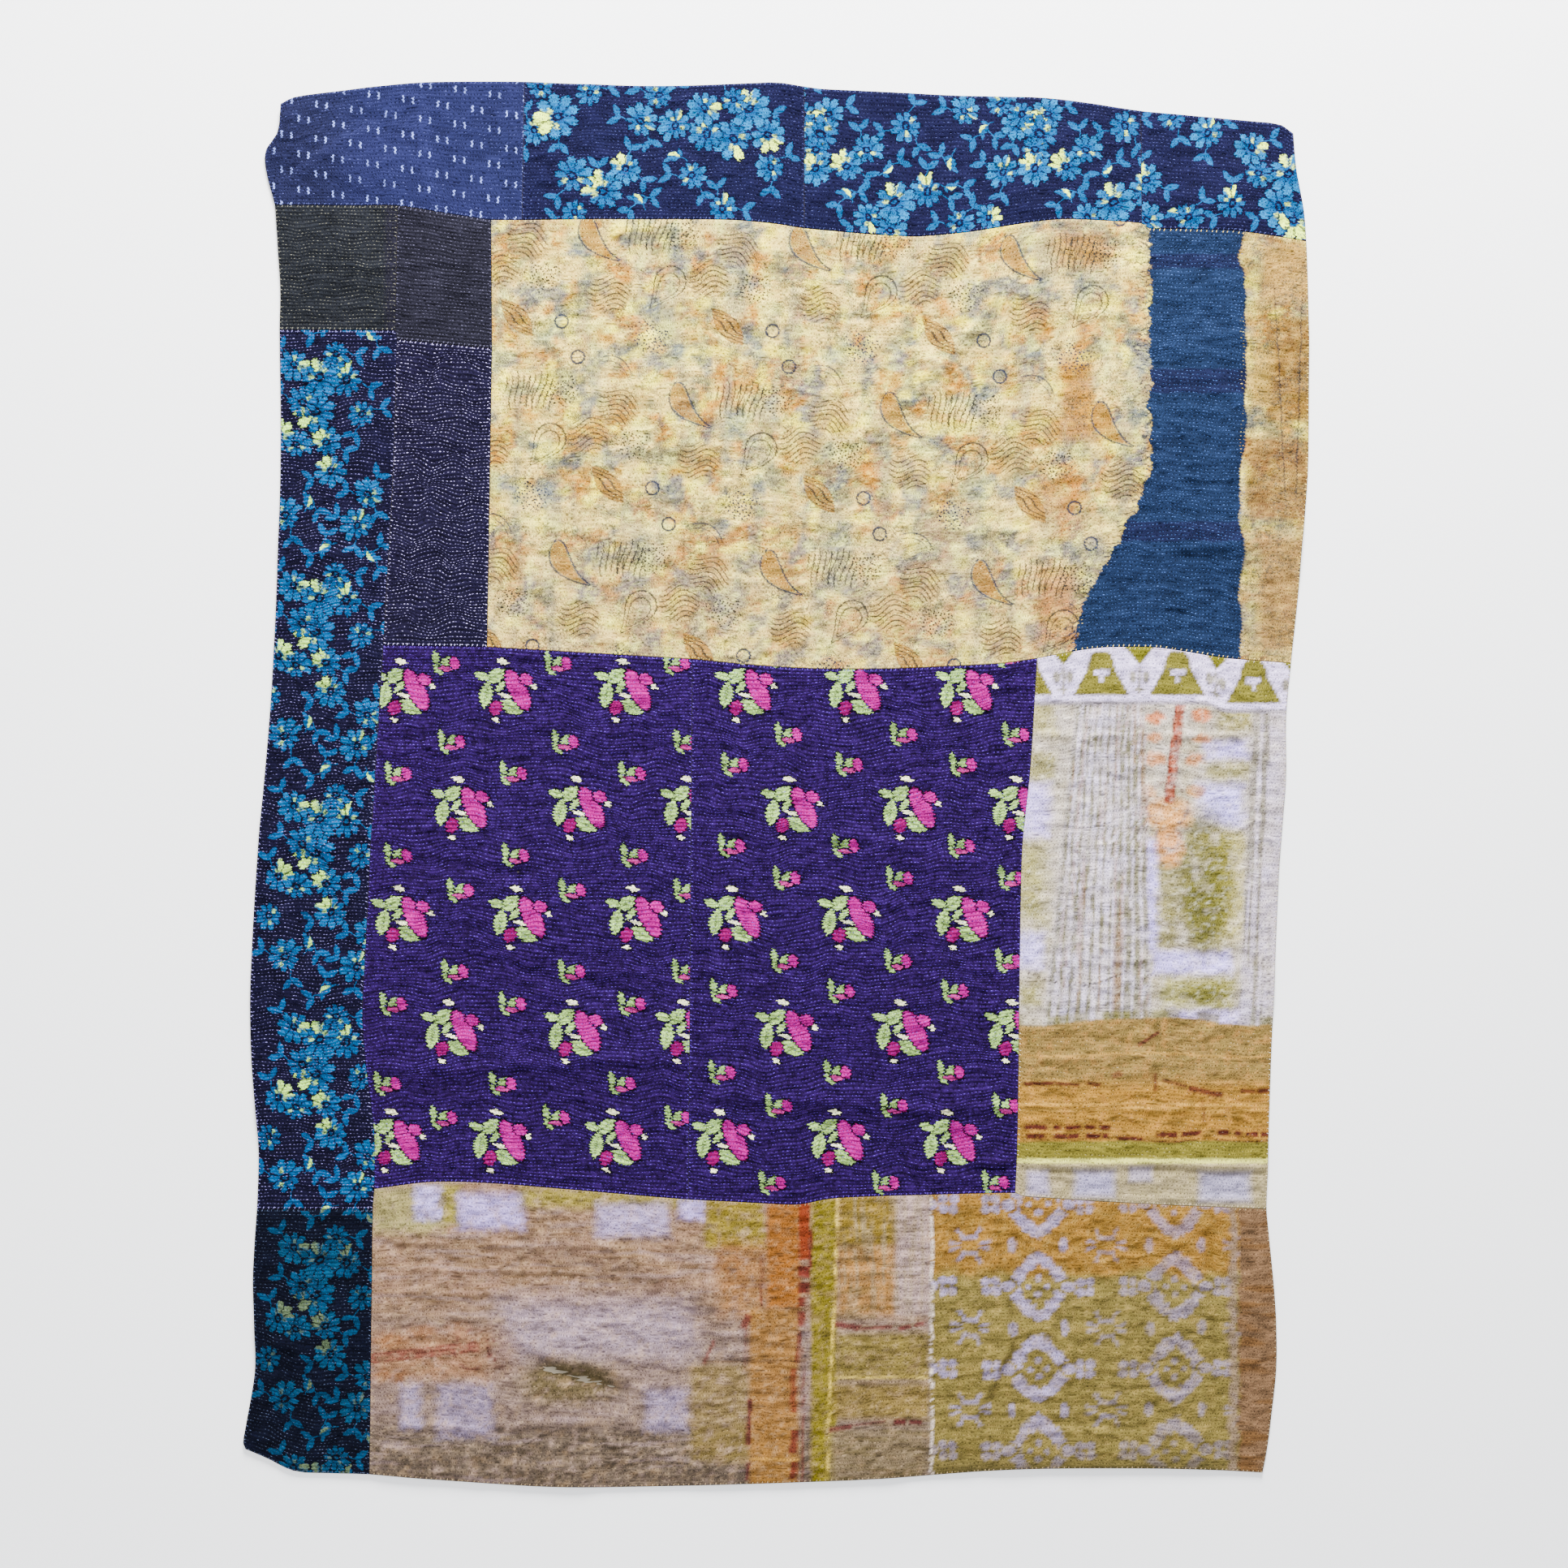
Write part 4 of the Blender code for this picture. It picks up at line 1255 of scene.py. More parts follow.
def low_print(paint):
    """The bottom cloth: pale at the left, then its orange and olive bands, then the mustard end."""
    x, y = paint.x, paint.y
    ragged = (paint.noise(paint.across, paint.down, 14.0, 3.0, 0.6) - 0.5) * 20.0
    wide_x, wide_y = x + ragged, y + ragged * 0.6
    tone = paint.mix(paint.noise(x, y, 50.0, 2.0), "#b39c80", "#c0a898")
    tone = paint.mix(paint.step(y, 1600.0, 1650.0) * 0.6, tone, "#ada0a0")
    tone = paint.mix(paint.step(y, 1735.0, 1775.0) * 0.9, tone, "#877765")
    wave = y + (paint.noise(x, y, 90.0, 1.0) - 0.5) * 16.0
    lines = paint.step(paint.fold(wave + 3 * paint.sine(x * 0.02), 1524.0, 8.4) - 1.3, 0.8, -0.8)
    some = paint.step(paint.noise(x, y * 3, 60.0, 1.0), 0.4, 0.55) * paint.step(y, 1650, 1600)
    tone = paint.mix(lines * some * 0.6, tone, "#a5865e")
    tone = paint.mix(streaks(paint, wave + 90.0, x, 9.0, 130.0, 0.58, 0.68) * 0.4, tone, "#c2b4b4")
    tone = draw_blocks(paint, tone, wide_x, wide_y, LOW_PATCHES)
    tone = draw_spots(paint, tone, wide_x, wide_y, LOW_BLOTS)
    tone = paint.mix(paint.step(paint.noise(x, y, 14.0, 3.0, 0.6), 0.52, 0.7) * 0.4, tone, "#cdbfb8")
    shadow, _ = to_line(paint, x, y, Line(640, 1530, 880, 1610, 22, "", 1))
    tone = paint.mix(paint.step(shadow, 14, -10) * 0.35, tone, "#8c7468")
    out, off = to_line(paint, x, y, Line(450, 1675, 590, 1658, 13, "", 1))
    thread = paint.step(paint.size(paint.part(off * 0.2) - 0.5), 0.12, 0.3)
    tone = paint.mix(paint.step(out, 1.6, -1.2) * 0.9, tone, paint.mix(thread, "#bd8c78", "#a15a4c"))
    ring = paint.size(paint.length(x - 582.0, (y - 1662.0) * 0.85) - 21.0) - 2.0
    broken = paint.step(paint.noise(x, y, 8.0, 1.0), 0.45, 0.55)
    tone = paint.mix(paint.step(ring, 1.0, -1.0) * broken * 0.8, tone, "#8c4c46")
    tone = draw_lines(paint, tone, x, y, BRANCHLETS)
    tone = draw_blocks(paint, tone, wide_x * 0.25 + x * 0.75, y, LOW_BANDS)
    in_plaid = paint.step(x, 1030.0, 1036.0) * paint.step(x, 1150.0, 1146.0)
    plaid = streaks(paint, x, y, 7.0, 120.0, 0.5, 0.6) * paint.step(y, 1660.0, 1580.0)
    tone = paint.mix(plaid * in_plaid * 0.55, tone, "#c6baa8")
    tone = paint.mix(streaks(paint, y, x, 6.0, 60.0, 0.52, 0.62) * in_plaid * 0.5, tone, "#86743f")
    worn = [("#c8b49c", "#7d6440", 16.0, 0.4), ("#d6cabc", "#6f5a3c", 7.0, 0.25)]
    tone = mottle(paint, x, y, tone, worn)
    tone = draw_lines(paint, tone, x, y, LOW_LINES, 1.4)
    return paint.mix(paint.step(x, 1144.0, 1148.0), tone, mustard_print(paint, x, y))


LOW_BLOTS = [
    Spot(700, 1703, 62, 30, 0.4, "#857446", 0.9),
    Spot(480, 1652, 20, 9, 0.4, "#b98858", 0.7),
    Spot(520, 1640, 18, 9, 0.4, "#b98858", 0.6),
    Spot(565, 1636, 16, 9, 0.4, "#b98c60", 0.6),
    Spot(480, 1695, 20, 9, 0.4, "#b98858", 0.7),
    Spot(612, 1662, 26, 30, 0.5, "#b3906c", 0.6),
    Spot(900, 1560, 18, 24, 0.5, "#b98c58", 0.7),
]
BRANCHLETS = [
    Line(600, 1662, 612, 1676, 4, "#7a3834", 0.85),
    Line(600, 1660, 610, 1650, 3, "#7a3834", 0.7),
    Line(608, 1684, 622, 1683, 3, "#84504a", 0.7),
]


def mustard_print(paint, x, y):
    """The mustard end: pale rings, crosses, ticks and spider shapes, and a mottled strip along its edge."""
    rich = paint.step(y + (paint.noise(x, y, 60.0) - 0.5) * 50.0, 1576.0, 1560.0)
    low_tone = paint.mix(paint.noise(x, y, 24.0, 3.0, 0.6), "#9d8e52", "#b7a872")
    high_tone = paint.mix(paint.noise(x, y, 24.0, 3.0, 0.6), "#b29245", "#c8a66a")
    tone = paint.mix(rich, low_tone, high_tone)
    fx = paint.fold(x + (paint.noise(x, y, 40.0) - 0.5) * 8, 1279.0, 169.0)
    fy = paint.fold(y + (paint.noise(x + 50, y, 40.0) - 0.5) * 8, 1585.0, 101.0)
    wobble = (paint.noise(x, y, 8.0, 2.0) - 0.5) * 0.4
    r = 0.5 * paint.length(fx / 38, fy / 41) + 0.5 * (fx / 38 + fy / 41) + wobble
    ring = paint.step(paint.size(r - 0.86), 0.26, 0.14)
    side = paint.step(paint.length(fx - 38, fy * 1.2), 9.0, 6.0)
    gap = paint.step(paint.size(paint.length(fx - 38, fy * 1.2) - 11.0), 3.0, 1.4)
    dots = paint.step(paint.length(fx, paint.size(fy - 10.0)) - wobble * 8, 5.5, 3.0)
    dots = paint.high(dots, paint.step(paint.length(fx - 11.0, fy), 4.5, 2.5))
    lx, ly = fx - 58.0, fy
    lobes = 1 - paint.low(1, paint.length(paint.size(lx) - 6.0, ly - 6.0) / 6.4) ** 6
    lobes = lobes * paint.step(paint.length(lx, ly) + wobble * 4, 2.0, 4.0)
    dx, dy = 84.5 - fx, 50.5 - fy
    far = paint.length(dx, dy)
    rays = paint.step(np.sin(np.arctan2(dy, dx) * 8.0), 0.45, 0.8)
    rays = rays * paint.step(far, 10.0, 13.0) * paint.step(far, 27.0, 22.0) * 0.7
    hub = paint.step(paint.high(dx - 10.0, paint.size(dy - 9.0) - 2.4) + wobble * 3, 1.4, -1.4)
    tick = paint.step(paint.length((fx - 32.0) / 5.5, (fy - 50.5) / 10.0) + wobble, 1.1, 0.75)
    pale = paint.high(paint.high(ring * (1 - gap), side), paint.high(dots * 0.8, lobes))
    pale = paint.high(paint.high(pale, rays), paint.high(hub * 0.8, tick * 0.8))
    fade = 1 - 0.45 * paint.step(x + (paint.noise(x, y, 50.0) - 0.5) * 80, 1300.0, 1380.0)
    fade = fade * (1 - 0.4 * paint.step(y, 1740, 1790)) * (0.6 + 0.8 * paint.noise(x, y, 9.0, 3.0, 0.7))
    blur = paint.mix(paint.noise(x, y, 24.0), "#bdb4b8", "#c8c6d8")
    tone = paint.mix(pale * fade * 0.95, tone, blur)
    worn = [("#cbb88c", "#6e5c30", 12.0, 0.35), ("#d2c4a4", "#66542c", 5.0, 0.25)]
    tone = mottle(paint, x, y, tone, worn)
    tone = paint.mix(paint.step(y, 1786.0, 1812.0) * 0.7, tone, "#7d6e42")
    edge = x + (paint.noise(x, y, 18.0, 2.0) - 0.5) * 14.0
    tone = paint.mix(paint.step(paint.size(edge - 1519.0), 7.0, 3.0) * 0.75, tone, "#b8a898")
    strip = paint.mix(paint.noise(x, y * 0.5, 12.0, 3.0, 0.7), "#86694a", "#bba084")
    strip = paint.mix(streaks(paint, y, x, 14.0, 60.0, 0.5, 0.65), strip, "#a07a4c")
    tone = paint.mix(paint.step(edge, 1524.0, 1528.0), tone, strip)
    dotted = paint.size(x - 1147.5 + (paint.noise(x, y, 7.0) - 0.5) * 3.0) - 1.6
    gaps = paint.step(paint.noise(x, y, 5.0, 1.0), 0.38, 0.46)
    return paint.mix(paint.step(dotted, 1.2, -0.6) * gaps, tone, "#dcd6d2")


def paisley_marks(paint, x, y, kind, seed):
    """Line and fill masks of one drawn mark.

    Its kind is 0 drop, 1 ring, 2 bean, 3 tuft, 4 dots, 5 striped leaf, 6 grass or 7 swash.
    """
    def only(k):
        return paint.step(paint.size(kind - float(k)), 0.5, 0.3)

    def near(value, width, soft=0.9):
        return paint.step(paint.size(value) - width, soft, -soft)

    turn_y = y + 5.0
    narrow = paint.step(y, -26.0, 34.0)
    drop = paint.length((x + narrow * narrow * 14.0) / (1.05 - narrow * 0.9), turn_y * 0.72)
    drop_line = paint.high(near(drop - 21.0, 0.9), near(drop - 14.5, 0.7))
    drop_line = drop_line * paint.step(y, 36.0, 33.0)
    ring = paint.length(x, y)
    ring_line = near(ring - 8.0, 1.3)
    long = (x * 0.6 + y * 0.8) * 0.75
    bend = (y * 0.6 - x * 0.8) * 0.75 + long * long * 0.012
    taper = paint.root(paint.high(0.0, (long + 24.0) * (26.0 - long))) * (30.0 - long) * 0.0098
    bean = paint.size(bend) - taper
    bean = paint.high(bean, paint.size(long - 1.0) - 25.0)
    tuft_wave = y + 6.0 * paint.sine(x * 0.12 + seed * 3.0)
    tuft = near((paint.part(tuft_wave * (1 / 6.4)) - 0.5) * 6.4, 0.8, 0.9)
    tuft = tuft * paint.step(paint.length(x * 0.9, y), 26.0, 21.0)
    cell = paint.cells(x, y, 4.6, 0.7)
    ragged_edge = paint.length(x, y * 1.3) + (paint.noise(x, y, 12.0) - 0.5) * 26.0
    dots = paint.step(cell, 0.3, 0.2) * paint.step(ragged_edge, 26.0, 20.0)
    lens = leaf(paint, x, y, 0, 0, 50, 30, 13)
    slant = x * 0.55 - y * 0.83 + 3.0 * paint.sine(y * 0.2)
    stripe = near((paint.part(slant * (1 / 6.0)) - 0.5) * 6.0, 0.8, 0.9)
    stripe = stripe * paint.step(lens, 1.05, 0.95)
    blade = near((paint.part((x + 2.5 * paint.sine(y * 0.11)) * (1 / 7.0)) - 0.5) * 7.0, 0.8, 0.9)
    tips = paint.size(y) - 20.0 + paint.sine(x * 0.7) * 4.0
    blade = blade * paint.step(paint.high(paint.size(x) - 18.0, tips), 1.0, -1.0)
    swash = near(y - x * x * 0.022 + 6.0, 0.9, 1.0)
    swash = paint.high(swash, near(y - x * x * 0.022 - 1.0, 0.5, 0.8)) * paint.step(paint.size(x), 26.0, 18.0)
    line = drop_line * only(0)
    masks = (ring_line, near(bean - 0.8, 0.9), tuft, dots, stripe, blade, swash)
    for k, mask in enumerate(masks, start=1):
        line = line + mask * only(k)
    fill = paint.step(bean, 0.5, -1.5) * only(2)
    fill = fill + paint.step(lens, 1.1, 0.9) * only(5)
    fill = fill + paint.step(paint.length(x * 0.9, y), 30.0, 16.0) * only(3) * 0.55
    return line, fill


DYE_PATCHES = [
    Block(1300, 285, 1362, 330, 12, "#cdaa6a", 0.8),
    Block(1306, 440, 1350, 545, 13, "#d2ac68", 0.8),
    Block(1268, 590, 1330, 640, 16, "#d2a871", 0.6),
    Block(1280, 700, 1325, 790, 13, "#cfa377", 0.7),
    Block(1552, 300, 1640, 372, 9, "#d6bf92", 0.9),
    Block(1560, 392, 1640, 520, 5, "#c09a58", 0.9),
    Block(1540, 430, 1566, 500, 7, "#d8c698", 0.9),
    Block(1536, 540, 1640, 640, 6, "#bf9662", 0.85),
    Block(1550, 660, 1640, 800, 8, "#cdb28a", 0.9),
]


def paisley_ground(paint):
    """Cream ground with soft dye washes and worn places, and the dip-dyed band near its right end."""
    x, y = paint.x, paint.y
    tone = paint.mix(paint.noise(x, y, 46.0, 3.0), "#ddd0ac", "#e6dcc0")
    washes = [
        (0, 0, 62.0, 0.48, 0.62, "#d6b674", 0.9), (500, 0, 50.0, 0.53, 0.64, "#d8b06c", 0.9),
        (0, 700, 44.0, 0.52, 0.64, "#a3a892", 0.75), (900, 300, 40.0, 0.52, 0.64, "#98a4ae", 0.8),
        (300, 900, 30.0, 0.54, 0.7, "#efe2b8", 0.7),
    ]
    for dx, dy, size, start, end, colour, strength in washes:
        cover = paint.step(paint.noise(x + dx, y + dy, size, 3.0, 0.5), start, end)
        tone = paint.mix(cover * strength, tone, colour)
    veils = paint.step(paint.noise(x * 1.3, y * 0.25, 48.0, 2.0), 0.52, 0.66)
    tone = paint.mix(veils * 0.5, tone, "#a9b0ae")
    tone = paint.mix(paint.step(y, 560.0, 760.0) * 0.3, tone, "#cfbfae")
    worn = [("#f2e8cc", "#a39468", 30.0, 0.4), ("#f4ecd4", "#857b5c", 5.0, 0.4)]
    tone = mottle(paint, x, y, tone, worn)
    rough = (paint.noise(x, y, 26.0, 3.0, 0.6) - 0.5) * 34.0
    tone = draw_blocks(paint, tone, x + rough * 0.5, y + rough * 0.5, DYE_PATCHES)
    beside = paint.step(x, 1528.0, 1534.0)
    worn = [("#d8c7a0", "#8c7350", 12.0, 0.45), ("#ddd0b0", "#7d6848", 6.0, 0.3)]
    return paint.mix(beside, tone, mottle(paint, x, y, tone * 0.72, worn))


def dye_edges(paint, x, y, rough):
    """Distance in from the dyed band's left edge, and out past its right one."""
    left = x - 1416.0 + paint.step(y, 560.0, 800.0) * 92.0 + rough
    right = x - 1531.0 + (paint.noise(x, y, 60.0, 2.0) - 0.5) * 22.0
    return left, right


def paisley_print(paint):
    """Drawn paisleys and other marks over the cream ground, and the dyed band's brushed edge."""
    x, y = paint.x, paint.y
    tone, _ = from_points(paint, "tone")
    for size, shift, ink in ((15.0, 0.0, "#7c7862"), (8.0, 400.0, "#6c7470")):
        squiggle = paint.size(paint.noise(x + shift, y, size, 2.0, 0.7) - 0.5)
        patch = paint.step(paint.noise(x, y + shift, 40.0, 2.0), 0.44, 0.56)
        tone = paint.mix(paint.step(squiggle, 0.04, 0.014) * patch * 0.6, tone, ink)
    for layer in ("b", "a"):
        mx, my = paint.uv("motif_" + layer)
        kind, seed = paint.uv("kind_" + layer)
        line, fill = paisley_marks(paint, mx + paint.dx * 0.6, my + paint.dy * 0.6, kind, seed)
        tone = paint.mix(fill * 0.8, tone, "#c6a25c")
        ink = paint.mix(paint.step(seed, 0.45, 0.55), "#4c4c48", "#46546e")
        tone = paint.mix(line * 0.95, tone, ink)
    rough = (paint.noise(x, y, 26.0, 3.0, 0.6) - 0.5) * 30.0
    left, right = dye_edges(paint, x, y, rough)
    brush = paint.part(y * 0.15 + paint.noise(x, y, 22.0) * 3.0)
    hairs = paint.step(paint.size(brush - 0.5), 0.16, 0.06)
    hairs = hairs * paint.step(left + paint.noise(x, y, 16.0) * 34.0, 2.0, 6.0) * paint.step(left, 8.0, 0.0)
    tone = paint.mix(hairs * 0.8, tone, "#34405c")
    ink = paint.mix(paint.noise(x, y, 40.0, 2.0), "#1d3a5e", "#2d4f78")
    for cy, tall in ((322.0, 9.0), (470.0, 15.0), (655.0, 12.0)):
        bar = paint.step(paint.size(y + rough * 0.25 - cy) - tall, 1.5, -1.5)
        ink = paint.mix(bar * 0.7, ink, "#232c56")
    inside = paint.step(left, -1.5, 1.5) * paint.step(right, 2.0, -2.0)
    tone = paint.mix(inside, tone, ink)
    for cx, slope in ((1578.0, 0.05), (1600.0, -0.03)):
        thin = paint.size(x - cx - (y - 500.0) * slope + rough * 0.15) - 0.8
        where = paint.step(y, 330.0, 380.0) * paint.step(y, 650.0, 590.0)
        tone = paint.mix(paint.step(thin, 1.0, -0.8) * where * 0.75, tone, "#4a4a54")
    return tone


def spots(text):
    """Rows of across, down and size in mm from a short table written as text."""
    return [tuple(float(part) for part in row.split()) for row in text.split(",")]


# One printed motif: its place and reach in mm, its turn, kind and seed, and the mm to a unit of its drawing.
Motif = namedtuple("Motif", "across down size turn kind seed scale")


def motif_layers(made, grid, faces, motifs, layers):
    """Writes each face's nearest motifs: its corners' places in them, and their kind and seed."""
    across = grid[..., 0].ravel() + MIDDLE_ACROSS
    down = MIDDLE_DOWN - grid[..., 1].ravel()
    centre_x = across[faces].mean(axis=1)
    centre_y = down[faces].mean(axis=1)
    table = np.array(motifs, float)
    middle_x, middle_y, reach = table[None, :, 0], table[None, :, 1], table[None, :, 2]
    far = np.hypot(centre_x[:, None] - middle_x, centre_y[:, None] - middle_y) / reach
    order = np.sort(np.argsort(far, axis=1)[:, :layers], axis=1)
    for k, letter in zip(range(layers), "ab"):
        chosen = table[order[:, k]]
        dx = across[faces] - chosen[:, 0:1]
        dy = down[faces] - chosen[:, 1:2]
        cos, sin = np.cos(chosen[:, 3:4]), np.sin(chosen[:, 3:4])
        scale = chosen[:, 6:7]
        local = np.stack([(dx * cos + dy * sin) / scale, (dy * cos - dx * sin) / scale], axis=-1)
        add_uv(made, "motif_" + letter, local)
        kinds = np.repeat(np.stack([chosen[:, 4], chosen[:, 5]], axis=-1)[:, None], faces.shape[1], axis=1)
        add_uv(made, "kind_" + letter, kinds)


def daisies(places, shift=(0, 0), again=(0, 0), times=1):
    """Motif rows for flowers and buds, and leaves set round them, from places repeated down or across."""
    rows = []
    for n in range(times):
        for k, (x, y, size) in enumerate(places):
            px = x + shift[0] + again[0] * n
            py = y + shift[1] + again[1] * n
            seed = (k * 0.37 + 0.11) % 1
            kind = 1 if size < BUD_BELOW else 0
            size = size * (1.15 if kind == 0 else 0.95)
            rows.append(Motif(px, py, size, seed * 6.28, kind, seed, size))
    flowers = list(rows)
    for f in flowers:
        for turn in (0.7, 2.9, 4.8):
            angle = f.turn + turn
            x = f.across + math.cos(angle) * (f.size + 9)
            y = f.down + math.sin(angle) * (f.size + 9)
            if all(math.hypot(x - g.across, y - g.down) > g.size + 6 for g in rows if g is not f):
                rows.append(Motif(x, y, LEAF_REACH, angle, 2, 0.5, LEAF_REACH))
    return rows


# Flowers' places and sizes. One smaller than BUD_BELOW is a bud.
BUD_BELOW = 14
LEAF_REACH = 13
FLORAL_LEFT = spots("666 107 17, 687 144 24, 727 115 17, 658 160 17, 705 217 22, 743 236 22, 771 208 17,"
                    "708 262 17, 789 149 18, 812 117 18, 832 155 18, 868 133 18, 904 123 17, 923 134 22,"
                    "871 165 22, 904 171 22, 946 166 18, 852 216 18, 829 192 12, 950 206 17, 766 211 12,"
                    "785 244 12, 890 257 18")
FLORAL_MIDDLE = spots("0 66 24, 10 41 17, 248 41 17, 235 6 17, 57 85 18, 32 106 18, 264 108 18, 105 55 20,"
                      "177 37 16, 222 28 17, 225 112 18, 243 53 17, 264 85 18, 91 149 22, 132 136 20,"
                      "59 168 16, 86 184 18, 171 175 18, 207 168 14, 84 108 11, 161 103 12, 31 138 12,"
                      "162 130 10, 200 60 11")
FLORAL_RIGHT = spots("1282 150 22, 1335 165 18, 1316 184 18, 1378 149 22, 1373 222 22, 1412 222 18,"
                     "1341 239 18, 1372 255 22, 1413 271 18, 1445 144 18, 1488 164 18, 1542 182 18,"
                     "1550 214 18, 1587 215 22, 1518 251 18, 1576 255 22, 1593 271 22, 1464 268 18,"
                     "1445 262 12")
FLORAL_SIDE = spots("33 0 20, 49 11 22, 106 14 17, 3 40 17, 25 52 17, 62 49 17, 68 84 17, -9 88 17,"
                    "113 113 17, 11 139 20, 100 151 18, 22 225 17, 74 212 17, 54 241 21, 87 244 21,"
                    "60 180 12, 40 120 12, 118 190 12")
FLORAL_SIDE_AT = (340, 496)
FLORAL_SIDE_REPEAT = 272

LEFT_BLOOMS = [(497, 622, 770), (568, 713, 850), (495, 640, 783), (556, 708, 845), (485, 615, 758)]
RIGHT_BLOOMS = [(918, 1053, 1190), (975, 1120, 1255), (905, 1045, 1185), (968, 1112, 1250), (890, 1032, 1170)]
BLOOM_DOWNS = (850, 995, 1130, 1270, 1405)
LEFT_SPRIGS = [(548, 686, 832), (555, 695, 845), (489, 631, 777), (489, 634, 780), (566, 704, 845),
               (559, 703, 843), (483, 630, 777), (476, 618, 765), (545, 684, 834)]
LEFT_SPRIG_DOWNS = (815, 912, 951, 1052, 1095, 1195, 1235, 1333, 1375)
RIGHT_SPRIGS = [(960, 1104, 1240), (970, 1112, 1250), (904, 1045, 1185), (900, 1040, 1183), (968, 1107, 1245),
                (965, 1105, 1242), (890, 1035, 1175), (888, 1030, 1170), (958, 1100, 1238), (950, 1090, 1225)]
RIGHT_SPRIG_DOWNS = (806, 903, 940, 1040, 1080, 1182, 1219, 1319, 1360, 1455)
BLOOM_REACH = 40
SPRIG_REACH = 24


def purple_places(blooms, bloom_downs, sprigs, sprig_downs):
    """Rows for the blooms and sprigs, from each row's places across and how far down it lies."""
    rows = []
    sets = ((BLOOM_REACH, blooms, bloom_downs), (SPRIG_REACH, sprigs, sprig_downs))
    for kind, (reach, places, downs) in enumerate(sets):
        rows += [Motif(x, y, reach, 0.0, kind, 0.3, 1.0) for across, y in zip(places, downs) for x in across]
    return rows


PAISLEY_REPEAT = (260, 206)
PAISLEY_SHIFT = 112
Mark = namedtuple("Mark", "kind across down size turn seed")
PAISLEY_MARKS = [
    Mark(0, 0, 0, 34, 0.35, 0.2),
    Mark(1, 131, 47, 14, 0.0, 0.8),
    Mark(1, -109, 79, 14, 0.0, 0.9),
    Mark(2, 23, 144, 50, 0.0, 0.9),
    Mark(3, -72, 2, 30, 0.1, 0.1),
    Mark(3, 52, -18, 26, -0.1, 0.3),
    Mark(4, 106, -8, 30, 0.3, 0.2),
    Mark(5, 76, 42, 30, 0.0, 0.1),
    Mark(6, -33, -74, 24, 0.0, 0.3),
    Mark(4, -20, 54, 24, 0.6, 0.9),
    Mark(7, -60, 86, 24, 0.5, 0.8),
    Mark(6, 104, 132, 26, 0.2, 0.4),
    Mark(4, -130, 120, 28, 0.0, 0.1),
    Mark(3, -60, 140, 26, 0.4, 0.4),
]


def paisley_places():
    """The drawn marks over the cream cloth, repeated with a shift from row to row."""
    rows = []
    for down in range(-1, 3):
        for across in range(-2, 4):
            for m in PAISLEY_MARKS:
                x = 821 + across * PAISLEY_REPEAT[0] + down * PAISLEY_SHIFT + m.across
                y = 361 + down * PAISLEY_REPEAT[1] + across * 12 + m.down
                if 600 < x < 1390 and 240 < y < 860:
                    rows.append(Motif(x, y, m.size, m.turn, m.kind, m.seed, 1.0))
    return rows


# Thread colours: the darker and the lighter thread of each cloth.
THREADS = {
    "face_indigo": ("#4a5890", "#8f9bc6"),
    "face_black_left": ("#6c6c66", "#b8b6ac"),
    "face_black_right": ("#5e5e72", "#a3a3b6"),
    "face_navy": ("#8c8cac", "#dcdcee"),
    "face_floral_top_left": ("#4a5890", "#8a96c2"),
    "face_floral_top_mid": ("#465488", "#8490bc"),
    "face_floral_top_right": ("#4a5890", "#8a96c2"),
    "face_floral_side": ("#76769c", "#c4c4dc"),
    # The foot's threads are darker than the side's: painted shade of the light falling off towards the foot.
    "face_floral_foot": ("#46566c", "#8f9cb4"),
    "face_paisley": ("#cdbe98", "#eadfc4"),
    "face_purple_left": ("#6a58b0", "#a79ade"),
    "face_purple_right": ("#6a58b0", "#a79ade"),
    "face_print_right": ("#beb59c", "#ded9d0"),
    "face_print_low": ("#a8967a", "#cfc4b0"),
}
# How much painted shade lies between the rows on each kind of cloth.
PAINTED_ROW_SHADES = {
    "face_indigo": 0.3,
    "face_black": 0.6,
    "face_navy": 0.6,
    "face_floral_top": 0.3,
    "face_floral_side": 0.55,
    "face_floral_foot": 0.5,
    "face_paisley": 0.16,
    "face_purple": 0.6,
    "face_print": 0.2,
}


# The cloths whose ground is worked out at their points.
CANVASES = {"face_print_right": right_print, "face_print_low": low_print, "face_paisley": paisley_ground}
# The flowered cloths' two ground colours, and the main, deep, tip and pale colours of their flowers.
FLORALS = {
    "face_floral_top": ("#161d42", "#232f5c", (0.0, 0.072, 0.2), (0.0, 0.05, 0.16), "#86cfe4", "#e4ecc6"),
    "face_floral_side": ("#12152e", "#24284e", (0.0, 0.06, 0.18), (0.0, 0.035, 0.1), "#6fb8d4", "#d8e0bc"),
    # The foot's colours are darker than the side's: painted shade of the light falling off towards the
    # quilt's foot.
    "face_floral_foot": ("#070d1c", "#14203a", (0.0, 0.034, 0.085), (0.0, 0.02, 0.05), "#3f8ba0", "#8f9c80"),
}
made_materials = {}


def thread_colours(node, places, seed):
    """A colour for each stitch: of the cloth's two threads, light blue over the dyed band."""
    dull, light = (np.array(linear(colour)) for colour in THREADS[node])
    share = chance(np.arange(len(places)), seed + 1)[:, None] ** 2
    colours = dull * (1 - share) + light * share
    if node in CANVASES:
        canvas = Canvas(places[:, None])
        print_tone = CANVASES[node](canvas)[:, 0]
        colours = print_tone * (0.75 + 0.3 * share) + 0.3 * share * light
    if node == "face_paisley":
        rough = (canvas.noise(canvas.x, canvas.y, 26.0, 3.0, 0.6) - 0.5) * 30.0
        left, right = dye_edges(canvas, canvas.across, canvas.down, rough)
        over = ((left > 0) & (right < 0)).ravel()
        colours[over] = np.array(linear("#7fa0c8")) * (0.6 + 0.8 * share[over])
    return colours


